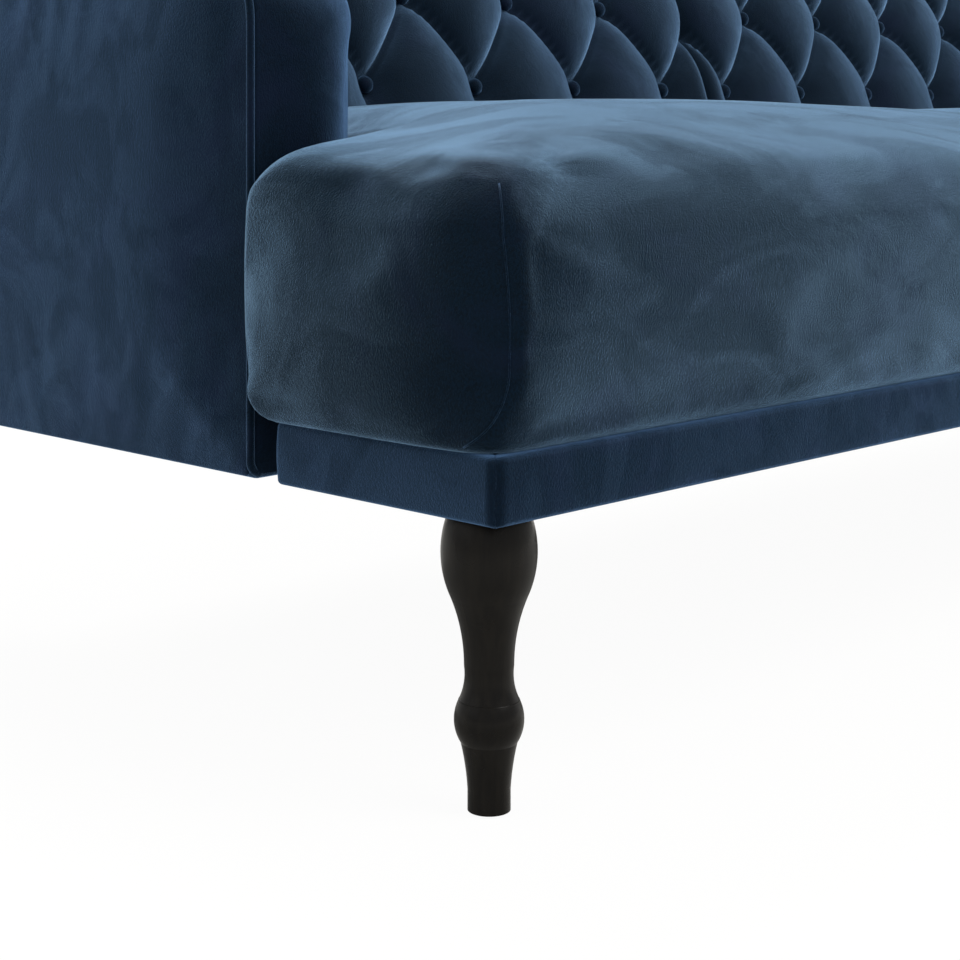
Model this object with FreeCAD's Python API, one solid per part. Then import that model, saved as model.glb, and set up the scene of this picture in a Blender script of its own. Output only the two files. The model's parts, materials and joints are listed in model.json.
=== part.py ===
import FreeCAD, Part
import math
import os
from FreeCAD import Vector

# Sofa bed with a split, button-tufted back, in millimetres.
# X runs along the sofa, Y from front to back and Z up from the floor.
# Depths count from the front of the base, and the model is centred when it is written.

# Overall
SOFA_WIDTH = 1860.0
LEG_HEIGHT = 200.0

# Base and seat frame
BASE_HEIGHT = 43.0
WING_DEPTH = 204.0
BORDER_THICKNESS = 12.0
BORDER_ROUND = 6.0
BORDER_CORNER = 10.0
REAR_BORDER_THICKNESS = 6.0
REAR_BORDER_ROUND = 4.0
FRAME_DEPTH = 675.0
TIMBER = 30.0
CENTRE_RAIL_WIDTH = 44.0
CORNER_BLOCK = 60.0
DUST_COVER_THICKNESS = 1.5
DECK_THICKNESS = 1.0
STRAP_THICKNESS = 2.0
STRAP_WIDTH = 50.0
LONG_STRAPS_PER_SIDE = 4
CROSS_STRAPS_PER_SIDE = 3

# Legs
LEG_SIDE_INSET = 50.0
LEG_FACE_INSET = 54.0
LEG_TOP_RADIUS = 24.0
LEG_BULB_RADIUS = 31.5
LEG_SHOULDER_RADIUS = 25.0
LEG_NECK_RADIUS = 16.3
LEG_COLLAR_RADIUS = 19.5
LEG_BEAD_RADIUS = 22.8
LEG_ANKLE_RADIUS = 18.5
LEG_FOOT_RADIUS = 14.0
LEG_HOLLOW_RADIUS = 18.9
LEG_WAIST_RADIUS = 16.6
LEG_TAPER_RADIUS = 15.5
# Where the turnings come on a leg, as shares of its length
LEG_BULB_SHARE = 0.84
LEG_SHOULDER_SHARE = 0.692
LEG_HOLLOW_SHARE = 0.594
LEG_NECK_SHARE = 0.47
LEG_WAIST_SHARE = 0.405
LEG_COLLAR_SHARE = 0.36
LEG_BEAD_SHARE = 0.292
LEG_ANKLE_SHARE = 0.221
LEG_TAPER_SHARE = 0.142
LEG_FOOT_SHARE = 0.068
LEG_PLATE_SIZE = 64.0
LEG_BOLT_DIAMETER = 8.0
LEG_BOLT_IN_LEG = 35.0
LEG_BOLT_IN_FRAME = 32.0
GLIDE_RADIUS = 10.0
GLIDE_THICKNESS = 1.6
GLIDE_NAIL_DIAMETER = 3.0
GLIDE_NAIL_LENGTH = 14.0

# Arms
ARM_SETBACK = 237.0
ARM_LENGTH = 553.0
ARM_HEIGHT = 390.0
ARM_THICKNESS = 130.0
ARM_CORNER = 75.0
ARM_ROLL = 64.0
ARM_TIMBER = 45.0
ARM_TIMBER_INSET = 30.0
WELT_DIAMETER = 6.0
ARM_BOLT_DIAMETER = 8.0
ARM_BOLT_IN_ARM = 30.0
ARM_BOLT_SHARES = (0.18, 0.6)
BOLT_HEAD_RADIUS = 6.5
BOLT_HEAD_HEIGHT = 4.0

# Seat cushion, heights above the top of the base
CROWN_HEIGHT = 222.0
VALLEY_HEIGHT = 213.0
EAR_HEIGHT = 196.0
SHOULDER_HEIGHT = 179.0
END_HEIGHT = 170.0
FRONT_BULGE = 10.0
END_BULGE = 6.0
SEAT_NOSE = 58.0
EAR_TOP_ROUND = 28.0
EAR_BOTTOM_ROUND = 38.0
SEAT_TO_BACK = 19.0
CREST_SHARE = 0.48
BELLY_SHARE = 0.55
# The bends of the seat's front and rear edges, as shares of the nose
SHOULDER_DROP_SHARE = 0.32
BROW_DROP_SHARE = 0.75
FRONT_TURN_IN_SHARE = 0.26
FRONT_TURN_DROP_SHARE = 0.16
LIP_RISE_SHARE = 0.1
CROWN_END_IN_SHARE = 0.5
CROWN_END_DROP_SHARE = 0.08
REAR_TURN_IN_SHARE = 0.12
REAR_TURN_DROP_SHARE = 0.2

# Back halves
RECLINE = 18.0
BED_ABOVE_BASE = 207.0
FACE_TO_PIVOT = 135.0
BACK_ABOVE_PIVOT = 500.0
BACK_BELOW_PIVOT = 80.0
PAD_THICKNESS = 96.0
PAD_ROUND = 22.0
BOARD_THICKNESS = 8.0
BOARD_INSET = 10.0
BACK_TIMBER = 30.0
REAR_COVER_THICKNESS = 6.0
REAR_COVER_CORNER = 18.0
SPLIT_GAP = 8.0
BACK_TO_ARM = 5.0

# Tufting
ROW_PITCH = 95.4
TUFT_ROWS = 4
TUFT_COLUMNS = 5
FIRST_ROW = 142.0
FIRST_BUTTON = 55.0
LAST_BUTTON = 50.65
PLEAT_DEPTH = 22.0
BUTTON_DEPTH = 28.0
BUTTON_RADIUS = 7.5
BUTTON_HEIGHT = 5.0
TUFT_STEPS = ((1.0, 0.0), (0.84, 0.68), (0.46, 1.0))
DIMPLE_SLOPE = 1.2
DIMPLE_SIDES = 8

# Recline hinges
HINGE_PLATE = 4.0
HINGE_GAP = 0.5
BRACKET_HEAD = 18.0
BRACKET_FOOT_LENGTH = 82.0
BRACKET_FOOT_WIDTH = 30.0
BRACKET_REACH_BACK = 40.0
BRACKET_SETBACK = 3.5
ARM_PLATE_HEAD = 16.0
ARM_PLATE_WIDTH = 22.0
ARM_PLATE_LENGTH = 150.0
ARM_PLATE_KNEE = 52.5
ARM_PLATE_BOLT_SHARES = (0.5, 0.85)
PIN_RADIUS = 6.0
PIN_HEAD_RADIUS = 9.0
PIN_HEAD_HEIGHT = 2.0
WHEEL_RADIUS = 27.0
WHEEL_THICKNESS = 6.0
NOTCH_DEPTH = 2.5
NOSE_RADIUS = 4.2
LOUNGE_ANGLE = 36.0
SPRING_THICKNESS = 1.5
SPRING_WIDTH = 5.0
SPRING_TAB = 15.0
SPRING_ABOVE_PIVOT = 12.0
HINGE_BOLT_RADIUS = 3.0
HINGE_BOLT_HEAD_RADIUS = 5.0
HINGE_BOLT_HEAD_HEIGHT = 3.5
HINGE_BOLT_LENGTH = 26.0
STILE_ABOVE_PIVOT = 20.0

# Clearances
RUNNING_FIT = 0.05
HOLE_FIT = 0.1
SOFT_GAP = 0.5
NOTCH_FIT = 0.3

# Levels, planes and points that follow from the sizes above
HALF_WIDTH = SOFA_WIDTH / 2
BASE_BOTTOM = LEG_HEIGHT
BASE_TOP = LEG_HEIGHT + BASE_HEIGHT
RAIL_BOTTOM = BASE_BOTTOM + DUST_COVER_THICKNESS
STRAP_TOP = BASE_TOP - DECK_THICKNESS
RAIL_TOP = STRAP_TOP - STRAP_THICKNESS
RAIL_HEIGHT = RAIL_TOP - RAIL_BOTTOM
WING_X = HALF_WIDTH - BORDER_THICKNESS
ARM_INNER_X = HALF_WIDTH - ARM_THICKNESS
END_RAIL_X = ARM_INNER_X - TIMBER
CENTRE_RAIL_X = CENTRE_RAIL_WIDTH / 2
ARM_TOP = BASE_BOTTOM + ARM_HEIGHT
ARM_REAR = ARM_SETBACK + ARM_LENGTH
REAR_RAIL_FRONT = FRAME_DEPTH - TIMBER
LEG_X = HALF_WIDTH - LEG_SIDE_INSET
LEG_REAR_Y = ARM_REAR - LEG_FACE_INSET
PIVOT_DEPTH = FRAME_DEPTH - BRACKET_SETBACK - BRACKET_REACH_BACK
PIVOT_HEIGHT = BASE_TOP + BED_ABOVE_BASE - FACE_TO_PIVOT
PIVOT = Vector(0, PIVOT_DEPTH, PIVOT_HEIGHT)
FLAT_ANGLE = 90.0 - RECLINE
BACK_INNER_X = SPLIT_GAP / 2
BACK_OUTER_X = ARM_INNER_X - BACK_TO_ARM
TUFTED_WIDTH = BACK_OUTER_X - BACK_INNER_X - FIRST_BUTTON - LAST_BUTTON
BUTTON_PITCH = TUFTED_WIDTH / (TUFT_COLUMNS - 0.5)
MODEL_CENTRE_Y = (ARM_REAR - FRONT_BULGE) / 2

nodes = {}


def box(x0, x1, y0, y1, z0, z1):
    return Part.makeBox(x1 - x0, y1 - y0, z1 - z0, Vector(x0, y0, z0))


def mirrored(shape):
    return shape.mirror(Vector(0, 0, 0), Vector(1, 0, 0))


def group(shapes):
    return Part.makeCompound(shapes)


def with_mirror(shapes):
    return group(shapes + [mirrored(shape) for shape in shapes])


def arc(start, through, end):
    return Part.Arc(start, through, end).toShape()


def line(start, end):
    return Part.LineSegment(start, end).toShape()


def prism(edges, direction):
    return Part.Face(Part.Wire(edges)).extrude(direction)


def polygon_prism(points, direction):
    return Part.Face(Part.makePolygon(points + [points[0]])).extrude(direction)


def faceted(rings):
    """A closed solid with flat sides between rings of equally many points, and flat ends."""
    outlines = [rings[0], rings[-1]]
    for lower, upper in zip(rings, rings[1:]):
        for index, point in enumerate(lower):
            after = (index + 1) % len(lower)
            outlines.append([point, lower[after], upper[after], upper[index]])
    faces = [Part.Face(Part.makePolygon(outline + [outline[0]])) for outline in outlines]
    solid = Part.makeSolid(Part.makeShell(faces))
    if solid.Volume < 0:
        solid.reverse()
    return solid


def upright(x, y, z0, z1, radius):
    return Part.makeCylinder(radius, z1 - z0, Vector(x, y, z0))


def across(x0, x1, y, z, radius):
    return Part.makeCylinder(radius, x1 - x0, Vector(x0, y, z), Vector(1, 0, 0))


# Seat frame

def end_rail():
    rail = box(END_RAIL_X, ARM_INNER_X, BORDER_THICKNESS + TIMBER, FRAME_DEPTH, RAIL_BOTTOM, RAIL_TOP)
    for y in ARM_BOLT_DEPTHS:
        rail = rail.cut(across(END_RAIL_X, ARM_INNER_X, y, ARM_BOLT_Z, ARM_BOLT_DIAMETER / 2 + HOLE_FIT))
    for y in HINGE_BOLT_DEPTHS:
        rail = rail.cut(hinge_bolt_hole(OUTER_WEB_X, 1, y))
    return rail


def front_rail():
    y1 = BORDER_THICKNESS + TIMBER
    return box(-WING_X, WING_X, BORDER_THICKNESS, y1, RAIL_BOTTOM, RAIL_TOP)


def rear_rail():
    rail = box(-END_RAIL_X, END_RAIL_X, REAR_RAIL_FRONT, FRAME_DEPTH, RAIL_BOTTOM, RAIL_TOP)
    return rail.cut(group(inner_bolt_holes()))


def centre_rail():
    y0 = BORDER_THICKNESS + TIMBER
    rail = box(-CENTRE_RAIL_X, CENTRE_RAIL_X, y0, REAR_RAIL_FRONT, RAIL_BOTTOM, RAIL_TOP)
    return rail.cut(group(inner_bolt_holes()))


def inner_bolt_holes():
    holes = [hinge_bolt_hole(INNER_WEB_X, -1, y) for y in HINGE_BOLT_DEPTHS]
    return holes + [mirrored(hole) for hole in holes]


def wing_rails():
    y0 = BORDER_THICKNESS + TIMBER
    y1 = WING_DEPTH - BORDER_THICKNESS
    end = box(WING_X - TIMBER, WING_X, y0, y1 - TIMBER, RAIL_BOTTOM, RAIL_TOP)
    back = box(ARM_INNER_X, WING_X, y1 - TIMBER, y1, RAIL_BOTTOM, RAIL_TOP)
    return with_mirror([end, back])


def corner_block():
    x1 = WING_X - TIMBER
    y0 = BORDER_THICKNESS + TIMBER
    corner = [
        Vector(x1, y0, RAIL_BOTTOM),
        Vector(x1, y0 + CORNER_BLOCK, RAIL_BOTTOM),
        Vector(x1 - CORNER_BLOCK / 2, y0 + CORNER_BLOCK, RAIL_BOTTOM),
        Vector(x1 - CORNER_BLOCK, y0 + CORNER_BLOCK / 2, RAIL_BOTTOM),
        Vector(x1 - CORNER_BLOCK, y0, RAIL_BOTTOM),
    ]
    block = polygon_prism(corner, Vector(0, 0, RAIL_HEIGHT))
    return block.cut(leg_bolt_hole(LEG_X, LEG_FACE_INSET))


def long_straps():
    straps = []
    span = (END_RAIL_X - CENTRE_RAIL_X) / LONG_STRAPS_PER_SIDE
    for index in range(LONG_STRAPS_PER_SIDE):
        x = CENTRE_RAIL_X + span * (index + 0.5)
        half = STRAP_WIDTH / 2
        straps.append(box(x - half, x + half, BORDER_THICKNESS, FRAME_DEPTH, RAIL_TOP, STRAP_TOP))
    return with_mirror(straps)


def cross_straps():
    straps = []
    y0 = BORDER_THICKNESS + TIMBER
    span = (REAR_RAIL_FRONT - y0) / CROSS_STRAPS_PER_SIDE
    for index in range(CROSS_STRAPS_PER_SIDE):
        y = y0 + span * (index + 0.5)
        half = STRAP_WIDTH / 2
        z0 = RAIL_TOP - STRAP_THICKNESS
        straps.append(box(CENTRE_RAIL_X, END_RAIL_X, y - half, y + half, z0, RAIL_TOP))
    return with_mirror(straps)


def seat_deck():
    """Cloth stretched over the straps, left and right of the centre rail."""
    x0 = CENTRE_RAIL_X + HOLE_FIT
    x1 = END_RAIL_X - HOLE_FIT
    return with_mirror([box(x0, x1, BORDER_THICKNESS, FRAME_DEPTH, STRAP_TOP, BASE_TOP)])


def dust_cover():
    y1 = WING_DEPTH - BORDER_THICKNESS
    front = box(-WING_X, WING_X, BORDER_THICKNESS, y1, BASE_BOTTOM, RAIL_BOTTOM)
    rear = box(-ARM_INNER_X, ARM_INNER_X, y1, FRAME_DEPTH, BASE_BOTTOM, RAIL_BOTTOM)
    cover = front.fuse(rear).removeSplitter()
    for x in (-LEG_X, LEG_X):
        cover = cover.cut(leg_plate_block(x, LEG_FACE_INSET, HOLE_FIT))
    return cover


# Padded border of the base

def border_profile(thickness, rounding):
    z0 = BASE_BOTTOM
    z1 = BASE_TOP
    near = rounding * (1 - math.sqrt(0.5))
    low = Vector(0, rounding, z0)
    low_mid = Vector(0, near, z0 + near)
    low_face = Vector(0, 0, z0 + rounding)
    high_face = Vector(0, 0, z1 - rounding)
    high_mid = Vector(0, near, z1 - near)
    high = Vector(0, rounding, z1)
    back_high = Vector(0, thickness, z1)
    back_low = Vector(0, thickness, z0)
    return [
        line(back_low, low),
        arc(low, low_mid, low_face),
        line(low_face, high_face),
        arc(high_face, high_mid, high),
        line(high, back_high),
        line(back_high, back_low),
    ]


def corner_wedge(keep_front):
    x1 = HALF_WIDTH
    x0 = HALF_WIDTH - BORDER_THICKNESS
    third = Vector(x1, BORDER_THICKNESS, BASE_BOTTOM) if keep_front else Vector(x0, 0, BASE_BOTTOM)
    corner = [Vector(x1, 0, BASE_BOTTOM), third, Vector(x0, BORDER_THICKNESS, BASE_BOTTOM)]
    return polygon_prism(corner, Vector(0, 0, BASE_HEIGHT))


def front_border():
    strip = prism(border_profile(BORDER_THICKNESS, BORDER_ROUND), Vector(SOFA_WIDTH, 0, 0))
    strip.translate(Vector(-HALF_WIDTH, 0, 0))
    wedge = corner_wedge(True)
    return strip.cut(wedge).cut(mirrored(wedge))


def wing_border():
    x0 = HALF_WIDTH - BORDER_THICKNESS
    z = BASE_BOTTOM
    turn = BORDER_CORNER * (1 - math.sqrt(0.5))
    y0 = WING_DEPTH - BORDER_THICKNESS
    outline = [
        line(Vector(HALF_WIDTH, 0, z), Vector(HALF_WIDTH, WING_DEPTH - BORDER_CORNER, z)),
        arc(
            Vector(HALF_WIDTH, WING_DEPTH - BORDER_CORNER, z),
            Vector(HALF_WIDTH - turn, WING_DEPTH - turn, z),
            Vector(HALF_WIDTH - BORDER_CORNER, WING_DEPTH, z),
        ),
        line(Vector(HALF_WIDTH - BORDER_CORNER, WING_DEPTH, z), Vector(ARM_INNER_X, WING_DEPTH, z)),
        line(Vector(ARM_INNER_X, WING_DEPTH, z), Vector(ARM_INNER_X, y0, z)),
        line(Vector(ARM_INNER_X, y0, z), Vector(x0, y0, z)),
        line(Vector(x0, y0, z), Vector(x0, 0, z)),
        line(Vector(x0, 0, z), Vector(HALF_WIDTH, 0, z)),
    ]
    strip = prism(outline, Vector(0, 0, BASE_HEIGHT))
    outer = []
    for edge in strip.Edges:
        middle = edge.valueAt((edge.FirstParameter + edge.LastParameter) / 2)
        level = edge.Vertexes[0].Z == edge.Vertexes[-1].Z
        if level and middle.x > x0 + turn and middle.y > turn:
            outer.append(edge)
        elif level and middle.y > WING_DEPTH - turn:
            outer.append(edge)
    strip = strip.makeFillet(BORDER_ROUND, outer)
    return strip.cut(corner_wedge(False))


def rear_border():
    strip = prism(border_profile(REAR_BORDER_THICKNESS, REAR_BORDER_ROUND), Vector(2 * ARM_INNER_X, 0, 0))
    strip.translate(Vector(-ARM_INNER_X, 0, 0))
    strip.rotate(Vector(0, 0, 0), Vector(0, 0, 1), 180)
    strip.translate(Vector(0, FRAME_DEPTH + REAR_BORDER_THICKNESS, 0))
    return strip


# Legs

def leg_profile():
    top = LEG_HEIGHT
    foot = GLIDE_THICKNESS

    def at(radius, share):
        return Vector(radius, 0, foot + share * (top - foot))

    crown = at(LEG_TOP_RADIUS, 1)
    shoulder = at(LEG_SHOULDER_RADIUS, LEG_SHOULDER_SHARE)
    neck = at(LEG_NECK_RADIUS, LEG_NECK_SHARE)
    collar = at(LEG_COLLAR_RADIUS, LEG_COLLAR_SHARE)
    ankle = at(LEG_ANKLE_RADIUS, LEG_ANKLE_SHARE)
    foot_top = at(LEG_FOOT_RADIUS, LEG_FOOT_SHARE)
    sole = at(LEG_FOOT_RADIUS, 0)
    edges = [
        line(Vector(0, 0, top), crown),
        arc(crown, at(LEG_BULB_RADIUS, LEG_BULB_SHARE), shoulder),
        arc(shoulder, at(LEG_HOLLOW_RADIUS, LEG_HOLLOW_SHARE), neck),
        arc(neck, at(LEG_WAIST_RADIUS, LEG_WAIST_SHARE), collar),
        arc(collar, at(LEG_BEAD_RADIUS, LEG_BEAD_SHARE), ankle),
        arc(ankle, at(LEG_TAPER_RADIUS, LEG_TAPER_SHARE), foot_top),
        line(foot_top, sole),
        line(sole, Vector(0, 0, foot)),
        line(Vector(0, 0, foot), Vector(0, 0, top)),
    ]
    return Part.Face(Part.Wire(edges))


def leg(x, y):
    turned = leg_profile().revolve(Vector(0, 0, 0), Vector(0, 0, 1), 360)
    turned.translate(Vector(x, y, 0))
    nail = GLIDE_NAIL_DIAMETER / 2 + HOLE_FIT
    nail_hole = upright(x, y, GLIDE_THICKNESS, GLIDE_THICKNESS + GLIDE_NAIL_LENGTH + HOLE_FIT, nail)
    return turned.cut(nail_hole).cut(leg_bolt_hole(x, y))


def leg_bolt_hole(x, y):
    z0 = LEG_HEIGHT - LEG_BOLT_IN_LEG - HOLE_FIT
    z1 = LEG_HEIGHT + LEG_BOLT_IN_FRAME + HOLE_FIT
    return upright(x, y, z0, z1, LEG_BOLT_DIAMETER / 2 + HOLE_FIT)


def leg_bolt(x, y):
    z0 = LEG_HEIGHT - LEG_BOLT_IN_LEG
    z1 = LEG_HEIGHT + LEG_BOLT_IN_FRAME
    return upright(x, y, z0, z1, LEG_BOLT_DIAMETER / 2)


def leg_plate_block(x, y, clearance):
    half = LEG_PLATE_SIZE / 2 + clearance
    return box(x - half, x + half, y - half, y + half, BASE_BOTTOM, RAIL_BOTTOM)


def leg_plate(x, y):
    return leg_plate_block(x, y, 0).cut(leg_bolt_hole(x, y))


def leg_glide(x, y):
    rim = GLIDE_THICKNESS / 2
    profile = [
        Vector(0, 0, 0),
        Vector(GLIDE_RADIUS - rim, 0, 0),
        Vector(GLIDE_RADIUS, 0, rim),
        Vector(GLIDE_RADIUS, 0, GLIDE_THICKNESS),
        Vector(GLIDE_NAIL_DIAMETER / 2, 0, GLIDE_THICKNESS),
        Vector(0, 0, GLIDE_THICKNESS + GLIDE_NAIL_LENGTH),
    ]
    face = Part.Face(Part.makePolygon(profile + [profile[0]]))
    glide = face.revolve(Vector(0, 0, 0), Vector(0, 0, 1), 360)
    glide.translate(Vector(x, y, 0))
    return glide


# Arms, built on the right and mirrored

ARM_BOLT_Z = (RAIL_BOTTOM + RAIL_TOP) / 2
ARM_BOLT_DEPTHS = [ARM_SETBACK + ARM_LENGTH * share for share in ARM_BOLT_SHARES]


def arm_outline(inset, x):
    y0 = ARM_SETBACK + inset
    y1 = ARM_REAR - inset
    z1 = ARM_TOP - inset
    radius = ARM_CORNER - inset
    near = radius * (1 - math.sqrt(0.5))
    rise = [
        line(Vector(x, y0, BASE_BOTTOM), Vector(x, y0, z1 - radius)),
        arc(Vector(x, y0, z1 - radius), Vector(x, y0 + near, z1 - near), Vector(x, y0 + radius, z1)),
    ]
    over = [line(Vector(x, y0 + radius, z1), Vector(x, y1 - radius, z1))]
    fall = [
        arc(Vector(x, y1 - radius, z1), Vector(x, y1 - near, z1 - near), Vector(x, y1, z1 - radius)),
        line(Vector(x, y1, z1 - radius), Vector(x, y1, BASE_BOTTOM)),
    ]
    return rise + over + fall


def arm_slab(x0, x1, inset):
    edges = arm_outline(inset, x0)
    close = line(Vector(x0, ARM_REAR - inset, BASE_BOTTOM), Vector(x0, ARM_SETBACK + inset, BASE_BOTTOM))
    return prism(edges + [close], Vector(x1 - x0, 0, 0))


def arm_timbers():
    x0 = LEG_X - ARM_TIMBER / 2
    x1 = LEG_X + ARM_TIMBER / 2
    y0 = ARM_SETBACK + ARM_TIMBER_INSET
    y1 = ARM_REAR - ARM_TIMBER_INSET
    z1 = ARM_TOP - ARM_TIMBER_INSET
    front_post = box(x0, x1, y0, y0 + ARM_TIMBER, RAIL_BOTTOM, z1)
    rear_post = box(x0, x1, y1 - ARM_TIMBER, y1, RAIL_BOTTOM, z1)
    top_rail = box(x0, x1, y0 + ARM_TIMBER, y1 - ARM_TIMBER, z1 - ARM_TIMBER, z1)
    bottom_rail = box(x0, x1, y0 + ARM_TIMBER, y1 - ARM_TIMBER, RAIL_BOTTOM, RAIL_TOP)
    return [front_post, rear_post, top_rail, bottom_rail]


def arm_holes():
    holes = [leg_bolt_hole(LEG_X, LEG_REAR_Y)]
    x1 = LEG_X - ARM_TIMBER / 2 + ARM_BOLT_IN_ARM + HOLE_FIT
    for y in ARM_BOLT_DEPTHS:
        holes.append(across(ARM_INNER_X, x1, y, ARM_BOLT_Z, ARM_BOLT_DIAMETER / 2 + HOLE_FIT))
    return group(holes)


def arm_frame():
    return group([timber.cut(arm_holes()) for timber in arm_timbers()])


def arm_pad():
    x1 = HALF_WIDTH - WELT_DIAMETER
    slab = arm_slab(ARM_INNER_X, x1, 0)
    inner = []
    for edge in slab.Edges:
        middle = edge.valueAt((edge.FirstParameter + edge.LastParameter) / 2)
        if middle.x < ARM_INNER_X + SOFT_GAP and middle.z > BASE_BOTTOM + SOFT_GAP:
            inner.append(edge)
    pad = slab.makeFillet(ARM_ROLL, inner)
    pad = pad.cut(group(arm_timbers())).cut(arm_holes())
    return pad.cut(leg_plate_block(LEG_X, LEG_REAR_Y, HOLE_FIT))


def arm_panel():
    return arm_slab(HALF_WIDTH - WELT_DIAMETER, HALF_WIDTH, WELT_DIAMETER + HOLE_FIT)


def arm_welt():
    radius = WELT_DIAMETER / 2
    path = Part.Wire(arm_outline(radius, HALF_WIDTH - radius))
    start = Vector(HALF_WIDTH - radius, ARM_SETBACK + radius, BASE_BOTTOM)
    section = Part.Wire(Part.makeCircle(radius, start, Vector(0, 0, 1)))
    return path.makePipeShell([section], True, False)


def arm_bolt(y):
    x1 = LEG_X - ARM_TIMBER / 2 + ARM_BOLT_IN_ARM
    shank = across(END_RAIL_X, x1, y, ARM_BOLT_Z, ARM_BOLT_DIAMETER / 2)
    head = across(END_RAIL_X - BOLT_HEAD_HEIGHT, END_RAIL_X, y, ARM_BOLT_Z, BOLT_HEAD_RADIUS)
    return shank.fuse(head).removeSplitter()


# Seat cushion

def back_face_depth(z):
    """Depth of the upright back's face at height z."""
    lean = math.radians(RECLINE)
    face_y = PIVOT_DEPTH - FACE_TO_PIVOT * math.cos(lean)
    face_z = PIVOT_HEIGHT + FACE_TO_PIVOT * math.sin(lean)
    return face_y + (z - face_z) * math.tan(lean)


def cushion_section(x, height, draw_in):
    """Closed outline across the seat at x, for a height of crown, drawn in all round at the ends."""
    bottom = BASE_TOP + draw_in
    top = BASE_TOP + height
    nose = SEAT_NOSE
    front = draw_in
    shoulder = min(top - nose * SHOULDER_DROP_SHARE, BASE_TOP + SHOULDER_HEIGHT)
    crest_y = WING_DEPTH + nose
    rear_top = back_face_depth(top - nose / 2) - SEAT_TO_BACK
    rear_bottom = back_face_depth(bottom) - SEAT_TO_BACK
    toe = Vector(x, front + FRONT_BULGE / 2, bottom)
    belly = Vector(x, front - FRONT_BULGE, bottom + (shoulder - nose - bottom) * BELLY_SHARE)
    brow = Vector(x, front, shoulder - nose * BROW_DROP_SHARE)
    turn = Vector(x, front + nose * FRONT_TURN_IN_SHARE, shoulder - nose * FRONT_TURN_DROP_SHARE)
    lip = Vector(x, front + nose, shoulder + nose * LIP_RISE_SHARE)
    crest = Vector(x, crest_y, top)
    crown_end = Vector(x, rear_top - nose * CROWN_END_IN_SHARE, top - nose * CROWN_END_DROP_SHARE)
    rear_turn = Vector(x, rear_top - nose * REAR_TURN_IN_SHARE, top - nose * REAR_TURN_DROP_SHARE)
    rear_edge = Vector(x, rear_top, top - nose / 2)
    heel = Vector(x, rear_bottom, bottom)
    edges = [
        arc(toe, belly, brow),
        arc(brow, turn, lip),
        arc(lip, crest, crown_end),
        arc(crown_end, rear_turn, rear_edge),
        line(rear_edge, heel),
        line(heel, toe),
    ]
    return Part.Wire(edges)


def ear_relief():
    """The arm's space behind an ear and beside the seat, with the ear's round corners."""
    x = ARM_INNER_X - SOFT_GAP
    y1 = ARM_SETBACK - SOFT_GAP
    low = BASE_TOP
    high = BASE_TOP + EAR_HEIGHT
    slant = 1 - math.sqrt(0.5)
    far = PIVOT_DEPTH
    above = high + CROWN_HEIGHT
    start = Vector(x, y1 - EAR_BOTTOM_ROUND, low)
    low_turn = Vector(x, y1 - EAR_BOTTOM_ROUND * slant, low + EAR_BOTTOM_ROUND * slant)
    low_end = Vector(x, y1, low + EAR_BOTTOM_ROUND)
    high_start = Vector(x, y1, high - EAR_TOP_ROUND)
    high_turn = Vector(x, y1 - EAR_TOP_ROUND * slant, high - EAR_TOP_ROUND * slant)
    end = Vector(x, y1 - EAR_TOP_ROUND, high)
    top_front = Vector(x, y1 - EAR_TOP_ROUND, above)
    top_rear = Vector(x, far, above)
    bottom_rear = Vector(x, far, low - EAR_BOTTOM_ROUND)
    bottom_front = Vector(x, y1 - EAR_BOTTOM_ROUND, low - EAR_BOTTOM_ROUND)
    edges = [
        arc(start, low_turn, low_end),
        line(low_end, high_start),
        arc(high_start, high_turn, end),
        line(end, top_front),
        line(top_front, top_rear),
        line(top_rear, bottom_rear),
        line(bottom_rear, bottom_front),
        line(bottom_front, start),
    ]
    return prism(edges, Vector(ARM_THICKNESS + 2 * END_BULGE, 0, 0))


def seat_cushion():
    half = [
        (HALF_WIDTH * CREST_SHARE, CROWN_HEIGHT, 0),
        (ARM_INNER_X, EAR_HEIGHT + END_BULGE, 0),
        (HALF_WIDTH - SEAT_NOSE / 2, EAR_HEIGHT - END_BULGE, 0),
        (HALF_WIDTH - END_BULGE / 2, END_HEIGHT, 0),
        (HALF_WIDTH + END_BULGE, END_HEIGHT - END_BULGE, END_BULGE * 2),
    ]
    stations = [(-x, height, inward) for x, height, inward in reversed(half)]
    stations += [(0, VALLEY_HEIGHT, 0)] + half
    body = Part.makeLoft([cushion_section(*station) for station in stations], True, True)
    sweep = math.hypot(FACE_TO_PIVOT, BACK_BELOW_PIVOT) + SEAT_TO_BACK / 2
    body = body.cut(across(-HALF_WIDTH, HALF_WIDTH, PIVOT_DEPTH, PIVOT_HEIGHT, sweep))
    relief = ear_relief()
    return body.cut(relief).cut(mirrored(relief))


# Back halves, built upright with the pivot at the origin: Y behind the pivot, Z above it

def lean_back(shape):
    placed = shape.copy()
    placed.rotate(Vector(0, 0, 0), Vector(1, 0, 0), -RECLINE)
    placed.translate(PIVOT)
    return placed


PAD_FRONT = -FACE_TO_PIVOT
PAD_REAR = PAD_FRONT + PAD_THICKNESS
BOARD_REAR = PAD_REAR + BOARD_THICKNESS
BACK_FRAME_REAR = BOARD_REAR + BACK_TIMBER
COVER_REAR = BACK_FRAME_REAR + REAR_COVER_THICKNESS
PLEAT_PLANE = PAD_FRONT + PLEAT_DEPTH
BUTTON_SEAT = PAD_FRONT + BUTTON_DEPTH


def row_height(row):
    return FIRST_ROW + row * ROW_PITCH


def button_x(row, index):
    stagger = 0.5 if row % 2 else 0
    return BACK_INNER_X + FIRST_BUTTON + (index + stagger) * BUTTON_PITCH


def button_places():
    places = []
    for row in range(TUFT_ROWS):
        places += [(button_x(row, index), row_height(row)) for index in range(TUFT_COLUMNS)]
    return places


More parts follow.
